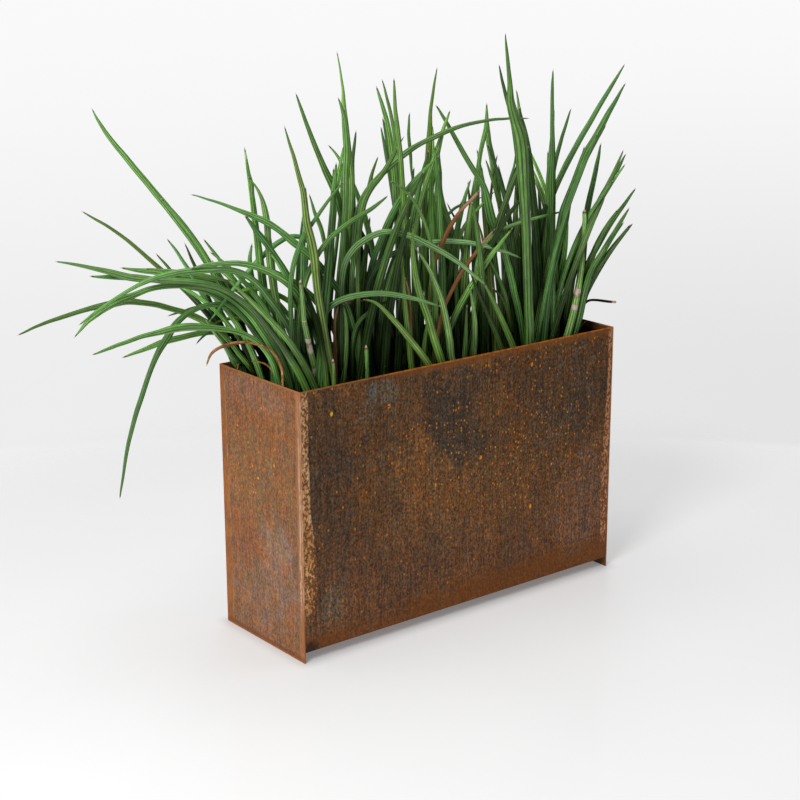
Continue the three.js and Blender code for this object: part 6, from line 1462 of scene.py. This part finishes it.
def add_leaf(rng, plant, code, points, radii):
    kind, radius = code[0], np.max(radii)
    centres = smooth_line(points, 0.0085 if arc_lengths(points)[-1] > 0.12 else 0.006)
    along = arc_lengths(centres)
    length, count = along[-1], len(centres)
    profile = leaf_profile(kind, radii, points, along, rng.uniform(0, 6.28))
    # the channel faces the middle of the trough
    middle = centres[count // 2]
    if abs(centres[-1][2] - centres[0][2]) < length * 0.55:
        up = np.array([-middle[0] * 0.35, -middle[1], 0.35 + rng.uniform(-0.1, 0.1)])
    else:
        up = np.array([-middle[0], -middle[1], 0.0])
        up = up + np.array([rng.gauss(0, 0.12), rng.gauss(0, 0.12), 0])
    tangents, normals, binormals = frames(centres, up / np.linalg.norm(up))
    angles = np.arange(LEAF_SIDES) / LEAF_SIDES * 2 * math.pi
    twist = rng.uniform(-1.2, 1.2) * along / length * 0.5
    groove = np.where(np.arange(LEAF_SIDES) % 2 == 0, 1.0, 0.905)
    channel_depth = (0.20 * np.exp(-along / (0.45 * length + 0.05)) * rng.uniform(0.5, 1.2)
                     + 0.03)
    channel = np.exp(-(np.minimum(angles, 2 * math.pi - angles) / 0.62) ** 2)
    flat = rng.uniform(0.86, 0.97)
    ring_radii = (radius * profile[:, None] * groove[None]
                  * (1 - channel_depth[:, None] * channel[None]))
    vertices, faces = plant["vertices"], plant["faces"]
    first = len(vertices)
    plant["tubes"].append((first, centres, radius * profile))
    vertices.extend(tube_points(centres, normals, binormals, angles[None] + twist[:, None],
                                ring_radii, flat))
    faces.extend(tube_faces(first, count, LEAF_SIDES))

    dryness = leaf_dryness(kind, along)
    scars = leaf_scars(kind, along, points[0][0] < 0)
    from_tip = (length - along) * (0.5 if kind in "ck" else 1.0)
    scarred_side = 0.85 + 0.15 * np.cos(angles - rng.uniform(0, 6.28))
    colours = leaf_colours(rng, code, along)
    plant["ring"].append(per_vertex(np.cos(angles)[None], np.sin(angles)[None], along[:, None]))
    plant["zone"].append(per_vertex(from_tip[:, None], dryness[:, None],
                                    scars[:, None] * scarred_side[None]))
    plant["leafcol"].append(np.repeat(colours, LEAF_SIDES, axis=0))
    # closed ends: ring, distance from the tip, push outwards in radii
    for ring, tip_distance, push in ((0, length, -0.3), (count - 1, 0.0, 0.9)):
        centre = len(vertices)
        vertices.append((centres[ring] + tangents[ring] * radius * profile[ring] * push).tolist())
        plant["ring"].append(np.array([[1.0, 0.0, along[ring]]]))
        plant["zone"].append(np.array([[tip_distance, dryness[ring], 0.0]]))
        plant["leafcol"].append(colours[ring][None])
        start = first + ring * LEAF_SIDES
        for j in range(LEAF_SIDES):
            here, after = start + j, start + (j + 1) % LEAF_SIDES
            faces.append((here, after, centre) if ring else (after, here, centre))


# ---------------------------------------------------------------- heaps of small pieces
def lump(centre, radii, turn, tilt, seed, subdivisions, amount, frequency):
    """A noisy squashed ball: vertices and faces."""
    ball = bmesh.new()
    bmesh.ops.create_icosphere(ball, subdivisions=subdivisions, radius=1.0)
    vertices = np.array([vertex.co for vertex in ball.verts])
    faces = [[vertex.index for vertex in face.verts] for face in ball.faces]
    ball.free()
    shift = Vector((seed * 7.3, seed * 1.7, seed * 3.1))
    height = np.array([perlin.noise(Vector(v * frequency) + shift) for v in vertices])
    vertices = vertices * (1 + amount * height[:, None] * 2) * np.array(radii)
    rotation = Matrix.Rotation(turn, 3, "Z") @ Matrix.Rotation(tilt, 3, "X")
    return vertices @ np.array(rotation).T + np.array(centre), faces


class Heap:
    """Many small closed pieces gathered in one mesh, each with its own tone."""

    def __init__(self):
        self.vertices, self.faces, self.tones = [], [], []

    def add(self, vertices, faces, tone):
        first = len(self.vertices)
        self.vertices.extend(vertices.tolist())
        self.faces.extend([tuple(i + first for i in face) for face in faces])
        self.tones.extend([tone] * len(vertices))

    def build(self, name, skin, slot, sharp_degrees=None):
        made = add_faces(name, self.vertices, self.faces, skin, sharp_degrees)
        point_attribute(made.data, "tone", "FLOAT", self.tones)
        return made


def soil_height(x, y):
    """Top of the potting mix: a level and three sizes of bumps."""
    return (0.4965 + 0.0045 * perlin.noise(Vector((x * 9, y * 9, 0.3)))
            + 0.0042 * perlin.noise(Vector((x * 42, y * 42, 4.0)))
            + 0.0022 * perlin.noise(Vector((x * 150, y * 150, 9.0))))


def papery_scale(x, y, z, radius, heading, height, index):
    """A thin pointed sheet curled round a leaf base: vertices and faces."""
    wide, high, thickness = 6, 4, 0.0006
    vertices, faces = [], []
    for layer in (0.0, thickness):
        for i in range(high):
            t = i / (high - 1)
            for j in range(wide):
                angle = heading + (j / (wide - 1) - 0.5) * 1.7 * (1 - t ** 1.6 * 0.92)
                out = radius + layer + 0.0016 * t * t + 0.0006 * math.sin(j * 2.1 + index)
                vertices.append((x + math.cos(angle) * out, y + math.sin(angle) * out,
                                 z + 0.002 + t * height))
    outer = high * wide
    for i in range(high - 1):
        for j in range(wide - 1):
            quad = (i * wide + j, i * wide + j + 1, (i + 1) * wide + j + 1, (i + 1) * wide + j)
            faces.append(tuple(outer + k for k in quad))
            faces.append(quad[::-1])
    rim = ([i * wide for i in range(high)][::-1] + list(range(1, wide))
           + [i * wide + wide - 1 for i in range(1, high)]
           + [(high - 1) * wide + j for j in range(wide - 2, 0, -1)])
    for here, after in zip(rim, rim[1:] + rim[:1]):
        faces.append((here, after, outer + after, outer + here))
    return np.array(vertices), faces


def add_rhizomes(rng, name, bases, seed):
    """Creeping rhizome with papery scales round each leaf base."""
    heap = Heap()
    for i, (x, y, radius) in enumerate(bases):
        z = soil_height(x, y)
        turn = rng.uniform(0, 6.28)
        size = (radius * 1.9 + 0.003, radius * 1.35 + 0.002, 0.008)
        piece = lump((x, y, z + 0.0035), size, turn, tilt=0.0, seed=i + seed,
                     subdivisions=2, amount=0.14, frequency=1.7)
        heap.add(*piece, rng.uniform(0, 0.45))
        for j in range(3):
            heading = turn + j * 2.1 + rng.uniform(-0.4, 0.4)
            height = rng.uniform(0.010, 0.022)
            piece = papery_scale(x, y, z, radius * 1.10 + 0.0007, heading, height, j)
            heap.add(*piece, rng.uniform(0.5, 1.0))
    heap.build(name, rhizome_skin, "leaf")


# ---------------------------------------------------------------- light reaching the leaves
def light_blockers(tubes):
    """Search tree of six sided tubes round the leaves, the trough walls and the soil."""
    vertices, faces = [], []
    angles = np.arange(6) / 6 * 2 * math.pi
    for centres, radii in tubes:
        tangents = unit_rows(np.gradient(centres, axis=0))
        normals = unit_rows(np.cross(tangents, [0.3, 0.9, 0.31]))
        first = len(vertices)
        vertices += tube_points(centres, normals, np.cross(tangents, normals),
                                angles[None], radii[:, None])
        faces += tube_faces(first, len(centres), 6)
    corners = [(-HALF_LENGTH, -HALF_WIDTH), (HALF_LENGTH, -HALF_WIDTH),
               (HALF_LENGTH, HALF_WIDTH), (-HALF_LENGTH, HALF_WIDTH)]
    quads = [((*a, 0.4), (*b, 0.4), (*b, RIM_HEIGHT), (*a, RIM_HEIGHT))
             for a, b in zip(corners, corners[1:] + corners[:1])]
    quads.append([(*corner, 0.498) for corner in corners])
    for quad in quads:
        first = len(vertices)
        vertices += quad
        faces.append((first, first + 1, first + 2, first + 3))
    return BVHTree.FromPolygons(vertices, faces)


SKY = [Vector(direction).normalized() for direction in (
    (-0.8, -0.5, 0.7), (-0.9, -0.1, 0.35), (-0.5, -0.9, 0.35), (-0.2, -0.8, 0.8),
    (-0.6, 0.1, 1.0), (0.0, -0.1, 1.0), (0.3, -0.8, 0.5), (-0.75, -0.75, 0.1),
    (-0.6, -0.9, 0.55), (0.6, 0.3, 0.9), (-0.3, 0.8, 0.7), (0.1, -1.0, 0.1))]
SIGHT = 0.26            # blockers further away than this don't count


def sky_share(blockers, centres, radii):
    """Share of the sky each ring of a leaf sees, smoothed along the leaf."""
    tangents = unit_rows(np.gradient(centres, axis=0))
    shares = np.zeros(len(centres))
    for i in range(len(centres)):
        centre, tangent = Vector(centres[i]), Vector(tangents[i])
        seen, total = 0.0, 0
        for direction in SKY:
            sine = math.sqrt(max(1 - direction.dot(tangent) ** 2, 0.0))
            if sine < 0.3:
                continue
            total += 1
            start = centre + direction * (radii[i] * 1.15 / sine + 0.0012)
            hit, _, _, distance = blockers.ray_cast(start, direction, SIGHT)
            seen += 1.0 if hit is None else min(distance / SIGHT, 1.0) * 0.55
        shares[i] = seen / max(total, 1)
    soften(shares, 4)
    return shares


def add_plants():
    built = []
    clumps = [name for name in sorted(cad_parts) if name.startswith("plant_")]
    for index, cad_name in enumerate(clumps):
        clump = cad_name[len("plant_"):]
        rng = random.Random(SEED + index * 101)
        plant = {key: [] for key in ("vertices", "faces", "ring", "zone", "leafcol", "tubes")}
        bases = []
        for code, points, radii in leaves_of(clump):
            add_leaf(rng, plant, code, points, radii)
            bases.append((points[0][0], points[0][1], np.ravel(radii)[0]))
        leaves = add_faces("leaves_" + clump, plant["vertices"], plant["faces"],
                           leaf_skin)
        for name, kind in (("ring", "FLOAT_VECTOR"), ("zone", "FLOAT_VECTOR"),
                           ("leafcol", "FLOAT_COLOR")):
            point_attribute(leaves.data, name, kind, np.vstack(plant[name]))
        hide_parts(cad_name)
        built.append((leaves, plant["tubes"]))
        add_rhizomes(rng, "rhizomes_" + clump, bases, seed=index * 31)

    blockers = light_blockers([(centres[::3], radii[::3]) for _, tubes in built
                               for _, centres, radii in tubes if len(centres) > 6])
    for leaves, tubes in built:
        values = np.ones(len(leaves.data.vertices))
        for first, centres, radii in tubes:
            shares = sky_share(blockers, centres, radii)
            end = first + len(centres) * LEAF_SIDES
            values[first:end] = np.repeat(shares, LEAF_SIDES)
            values[end:end + 2] = (shares[0], shares[-1])
        point_attribute(leaves.data, "open", "FLOAT", values)


def add_stalks():
    sides = 10
    angles = np.arange(sides) / sides * 2 * math.pi
    for i, (_, rows) in enumerate(read_table(STALKS)):
        centres = smooth_line(np.array(rows[1:]) * MM, 0.006)
        _, normals, binormals = frames(centres, np.array([0, -1.0, 0.2]))
        count = len(centres)
        t = np.linspace(0, 1, count)
        # tapering, with knots
        radii = (rows[0][0] * MM * (1 - 0.55 * t)
                 * (1 + 0.16 * np.sin(t * 60 + i) * np.sin(t * 23)))
        vertices = tube_points(centres, normals, binormals, angles[None], radii[:, None])
        faces = tube_faces(0, count, sides)
        faces += [tuple(range(sides - 1, -1, -1)),
                  tuple((count - 1) * sides + j for j in range(sides))]
        add_faces("dry_stalk_%d" % (i + 1), vertices, faces, stalk_straw)


# ---------------------------------------------------------------- fill of the liner
def rounded_outline(half_x, half_y, radius, step):
    """Rounded rectangle with six segments a corner and its straight runs cut near step."""
    x, y = half_x - radius, half_y - radius
    ring = []
    for corner_x, corner_y, start in ((x, y, 0), (-x, y, 90), (-x, -y, 180), (x, -y, 270)):
        for i in range(7):
            angle = math.radians(start + 90 * i / 6)
            ring.append((corner_x + radius * math.cos(angle),
                         corner_y + radius * math.sin(angle)))
    outline = []
    for a, b in zip(ring, ring[1:] + ring[:1]):
        cuts = max(1, round(math.dist(a, b) / step))
        outline += [(a[0] + (b[0] - a[0]) * t / cuts, a[1] + (b[1] - a[1]) * t / cuts)
                    for t in range(cuts)]
    return outline


def filled_slab(name, half_x, half_y, radius, bottom, top, skin, step):
    """A closed block with vertical sides. top(x, y) gives the height of its upper face."""
    outline = rounded_outline(half_x, half_y, radius, step)
    columns, rows = int(2 * half_x / step), int(2 * half_y / step)
    inner = []
    for i in range(columns + 1):
        for j in range(rows + 1):
            x, y = -half_x + 2 * half_x * i / columns, -half_y + 2 * half_y * j / rows
            past_x = max(abs(x) - (half_x - radius), 0)
            past_y = max(abs(y) - (half_y - radius), 0)
            if (math.hypot(past_x, past_y) < radius - step * 0.6
                    and abs(x) < half_x - step * 0.6 and abs(y) < half_y - step * 0.6):
                inner.append((x, y))
    count = len(outline)
    border = [(i, (i + 1) % count) for i in range(count)]
    result = delaunay_2d_cdt([Vector(p) for p in outline + inner], border, [], 1, 1e-6)
    block = bmesh.new()
    tops = [block.verts.new((p.x, p.y, top(p.x, p.y))) for p in result[0]]
    for face in result[2]:
        block.faces.new([tops[i] for i in face])
    rim = [edge for edge in block.edges if edge.is_boundary]
    for item in bmesh.ops.extrude_edge_only(block, edges=rim)["geom"]:
        if isinstance(item, bmesh.types.BMVert):
            item.co.z = bottom
    bmesh.ops.contextual_create(block, geom=[e for e in block.edges if e.is_boundary])
    bmesh.ops.recalc_face_normals(block, faces=block.faces)
    mesh = bpy.data.meshes.new(name)
    block.to_mesh(mesh)
    block.free()
    return add_insert(name, mesh, skin, sharp_degrees=50)


def add_soil():
    low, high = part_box("potting_soil")
    made = filled_slab("potting_mix", high.x, high.y, 0.0254, low.z, soil_height,
                       soil, step=0.0062)
    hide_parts("potting_soil")


def add_chips():
    """Bark and grit lying on the mix."""
    rng = random.Random(SEED + 5)
    heap = Heap()
    for i in range(620):
        x, y = rng.uniform(-0.425, 0.425), rng.uniform(-0.125, 0.125)
        size = rng.uniform(0.003, 0.011)
        radii = (size, size * rng.uniform(0.35, 0.6), size * rng.uniform(0.16, 0.34))
        piece = lump((x, y, soil_height(x, y) + size * 0.15), radii,
                     turn=rng.uniform(0, 6.3), tilt=rng.uniform(-0.35, 0.35), seed=i,
                     subdivisions=1, amount=0.30, frequency=1.3)
        heap.add(*piece, rng.random() ** 1.6)
    heap.build("bark_chips", bark, "potting_mix", sharp_degrees=35)


def add_pebbles():
    """Expanded clay pebbles: a packed top layer and outer courses round a settled core."""
    low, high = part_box("clay_pebble_layer")
    rng = random.Random(SEED + 6)
    heap = Heap()
    columns, rows = 47, 14
    half_x, half_y = high.x - 0.0095, high.y - 0.0095
    for i in range(columns):
        for j in range(rows):
            # alternate rows are shifted by half a pebble
            shift = (0.25 if j % 2 else -0.25) * (0 < i < columns - 1)
            x = -half_x + 2 * half_x * (i + shift) / (columns - 1)
            y = -half_y + 2 * half_y * j / (rows - 1)
            past_x, past_y = max(abs(x) - (half_x - 0.018), 0), max(abs(y) - (half_y - 0.018), 0)
            if math.hypot(past_x, past_y) > 0.0175:
                continue
            border = i in (0, columns - 1) or j in (0, rows - 1)
            for level in range(3 if border else 1):
                size = rng.uniform(0.0078, 0.0092)
                centre = (x + rng.uniform(-1, 1) * 0.0006, y + rng.uniform(-1, 1) * 0.0006,
                          high.z - 0.0090 - level * 0.0175)
                radii = (size, size * rng.uniform(0.9, 1), size * rng.uniform(0.88, 1))
                piece = lump(centre, radii, turn=rng.uniform(0, 6.3), tilt=rng.uniform(0, 1.5),
                             seed=i * 61 + j * 7 + level, subdivisions=1, amount=0.10,
                             frequency=1.4)
                heap.add(*piece, rng.random())
    pebbles = heap.build("clay_pebbles", pebble_clay, "clay_pebbles")
    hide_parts("clay_pebble_layer")

    def core_top(x, y):
        return high.z - 0.0125 + 0.002 * perlin.noise(Vector((x * 90, y * 90, 2)))

    core = filled_slab("clay_pebble_core", high.x - 0.011, high.y - 0.011, 0.018,
                       low.z + 0.0005, core_top, pebble_clay, step=0.012)
    point_attribute(core.data, "tone", "FLOAT", [0.4] * len(core.data.vertices))


def add_fleece():
    """Slightly crumpled fleece between pebbles and mix."""
    low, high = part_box("filter_fabric")
    columns, rows, corner = 150, 50, 0.026
    half_x, half_y = high.x - 0.0006, high.y - 0.0006
    vertices, faces = [], []
    for layer in (0.0, 0.0011):
        for i in range(columns + 1):
            for j in range(rows + 1):
                x, y = (-1 + 2 * i / columns) * half_x, (-1 + 2 * j / rows) * half_y
                # pull the corners of the grid in to a round
                past_x, past_y = abs(x) - (half_x - corner), abs(y) - (half_y - corner)
                if past_x > 0 and past_y > 0:
                    reach, diagonal = max(past_x, past_y), math.hypot(past_x, past_y)
                    x = math.copysign(half_x - corner + past_x * reach / diagonal, x)
                    y = math.copysign(half_y - corner + past_y * reach / diagonal, y)
                crumple = (0.0004 * perlin.noise(Vector((x * 30, y * 30, 1)))
                           + 0.00025 * perlin.noise(Vector((x * 110, y * 70, 5))))
                vertices.append((x, y, low.z + 0.0006 + layer * 0.8 + crumple))

    def at(layer, i, j):
        return (layer * (columns + 1) + i) * (rows + 1) + j

    for i in range(columns):
        for j in range(rows):
            faces.append((at(1, i, j), at(1, i + 1, j), at(1, i + 1, j + 1), at(1, i, j + 1)))
            faces.append((at(0, i, j + 1), at(0, i + 1, j + 1), at(0, i + 1, j), at(0, i, j)))
    for i in range(columns):
        faces.append((at(0, i, 0), at(0, i + 1, 0), at(1, i + 1, 0), at(1, i, 0)))
        faces.append((at(1, i, rows), at(1, i + 1, rows), at(0, i + 1, rows), at(0, i, rows)))
    for j in range(rows):
        faces.append((at(1, 0, j), at(1, 0, j + 1), at(0, 0, j + 1), at(0, 0, j)))
        faces.append((at(0, columns, j), at(0, columns, j + 1),
                      at(1, columns, j + 1), at(1, columns, j)))
    fleece = add_faces("filter_fleece", vertices, faces, fleece_fibre)
    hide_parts("filter_fabric")


# ---------------------------------------------------------------- CAD pieces that stay
def cad_look(name):
    """Material and bevel width of a CAD piece."""
    if name == "trough_sheet":
        return sheet_steel, 0.00045
    if name.endswith("_end_plate"):
        return end_steel, 0.0005
    if "weld" in name:
        return weld_bead, 0
    if name == "liner_tub":
        return liner_plastic, 0.0006
    if "handle_rivet" in name:
        return rivet_metal, 0.0004
    if "lift_handle" in name:
        return webbing, 0.0005
    return fitting_steel, 0.0005


def finish_cad_pieces():
    for name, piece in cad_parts.items():
        if piece.hide_render:
            continue
        skin, bevel_width = cad_look(name)
        piece.data.materials.clear()
        piece.data.materials.append(skin)
        plain = (name.endswith("_end_plate") or name in ("floor_bearer", "liner_cross_bar")
                 or "ledge" in name or "lift_handle" in name)
        if plain:
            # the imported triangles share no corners, so edges are joined before rounding
            piece.modifiers.new("join", "WELD").merge_threshold = 0.00001
        if bevel_width:
            bevel = piece.modifiers.new("edge", "BEVEL")
            bevel.width = bevel_width
            bevel.segments = 2
            bevel.limit_method = "ANGLE"
            bevel.angle_limit = math.radians(40)
            bevel.harden_normals = False
        if plain:
            piece.modifiers.new("even", "WEIGHTED_NORMAL").weight = 100
        piece.data.shade_smooth()
        piece.data.set_sharp_from_angle(angle=math.radians(35))


# ---------------------------------------------------------------- stage
def add_floor():
    @material("floor")
    def floor_skin():
        cloud = noise(scale=2.0, detail=2, rough=0.5)
        colour = mix(remap(cloud, 0, 1), (0.62, 0.62, 0.623, 1), (0.64, 0.64, 0.642, 1))
        # painted light: the floor glows as a stand-in for fill light, and the glow fades out under
        # and round the trough as a painted contact shadow
        x, y, _ = split(position)
        out_x = larger(abs(x) - HALF_LENGTH, 0.0)
        out_y = larger(abs(y) - HALF_WIDTH, 0.0)
        distance = calc("SQRT", out_x * out_x + out_y * out_y)
        floor_glow_and_contact_shade = fade(distance, -0.03, 0.035, 0.05, 0.345) + fade(distance, 0.02, 0.5, 0.0, 0.045)
        surface(colour, 0.55, spec=0.25, Coat_Weight=0.30, Coat_Roughness=0.05,
                Emission_Color=(1.0, 1.0, 1.0, 1), Emission_Strength=floor_glow_and_contact_shade)
        # the floor melts into the backdrop away from the object
        away = fade(calc("SQRT", x * x + y * y), 1.12, 1.75)
        solid = node_tree.nodes["Principled BSDF"].outputs[0]
        clear = node("ShaderNodeBsdfTransparent").outputs[0]
        blended = node("ShaderNodeMixShader", {0: away, 1: solid, 2: clear})
        feed(node_tree.nodes["Material Output"].inputs[0], blended.outputs[0])

    disc = bmesh.new()
    bmesh.ops.create_circle(disc, cap_ends=True, segments=96, radius=1.8)
    mesh = bpy.data.meshes.new("floor")
    disc.to_mesh(mesh)
    disc.free()
    mesh.materials.append(floor_skin)
    floor = bpy.data.objects.new("floor", mesh)
    scene.collection.objects.link(floor)


def build_world():
    global node_tree
    world = bpy.data.worlds.new("studio")
    scene.world = world
    world.use_nodes = True
    node_tree = world.node_tree
    node_tree.nodes.clear()
    x, y, z = split(node("ShaderNodeTexCoord").outputs["Generated"])
    # strongest from the left, weaker from the front and right
    light = (0.34 + fade(x * -0.9 + y * 0.1, 0.0, 0.95) * 0.44
             + fade(z, 0.25, 0.95) * 0.02 - fade(y * -1.0, 0.1, 0.95) * 0.16)
    lighting = node("ShaderNodeBackground", {0: join(light, light, light)})
    # backdrop: pale grey, darker across to the side, with a lighter sky and floor
    across = fade(x * 0.784 - y * 0.620, -0.22, 0.23)
    horizon = mix(across, (0.850, 0.850, 0.855, 1), (0.775, 0.775, 0.780, 1))
    ground = mix(across, (0.870, 0.870, 0.875, 1), (0.830, 0.830, 0.835, 1))
    sky = mix(fade(z, -0.27, -0.05), horizon, (0.950, 0.950, 0.953, 1))
    sky = mix(fade(z, -0.2935, -0.2975), sky, ground)
    backdrop = node("ShaderNodeBackground", {0: sky})
    to_camera = node("ShaderNodeLightPath").outputs["Is Camera Ray"]
    either = node("ShaderNodeMixShader",
                  {0: to_camera, 1: lighting.outputs[0], 2: backdrop.outputs[0]})
    node("ShaderNodeOutputWorld", {0: either.outputs[0]})


def add_area_light(name, place, target, size, power):
    light = bpy.data.lights.new(name, "AREA")
    light.shape = "RECTANGLE"
    light.size, light.size_y = size
    light.energy = power
    lamp = bpy.data.objects.new(name, light)
    scene.collection.objects.link(lamp)
    lamp.location = place
    lamp.rotation_mode = "QUATERNION"
    lamp.rotation_quaternion = (Vector(target) - Vector(place)).to_track_quat("-Z", "Y")
    lamp.visible_camera = False
    lamp.visible_glossy = False


def add_camera():
    lens = bpy.data.cameras.new("camera")
    camera = bpy.data.objects.new("camera", lens)
    scene.collection.objects.link(camera)
    lens.sensor_width = 36.0
    lens.lens = 77.2154
    # yaw from +y towards +x, pitch downwards
    yaw, pitch, roll = math.radians(38.3417), math.radians(16.0903), math.radians(-0.2150)
    ahead = Vector((math.sin(yaw) * math.cos(pitch), math.cos(yaw) * math.cos(pitch),
                    -math.sin(pitch)))
    level = ahead.cross(Vector((0, 0, 1))).normalized()
    upright = level.cross(ahead)
    right = level * math.cos(roll) + upright * math.sin(roll)
    up = -level * math.sin(roll) + upright * math.cos(roll)
    rotation = Matrix((right, up, -ahead)).transposed().to_4x4()
    camera.matrix_world = Matrix.Translation((-2.369389, -2.906135, 1.551198)) @ rotation
    scene.camera = camera


add_plants()
add_stalks()
add_soil()
add_chips()
add_pebbles()
add_fleece()
finish_cad_pieces()
add_floor()
build_world()
add_area_light("key_left", (-3.1, -1.5, 2.7), target=(0, 0, 0.7), size=(1.3, 1.5), power=100)
add_area_light("top", (0.6, -0.2, 3.6), target=(0, 0, 0.6), size=(1.6, 1.2), power=14)
add_area_light("back_right", (2.4, 2.6, 2.2), target=(0, 0, 0.8), size=(1.2, 1.4), power=15)
add_camera()
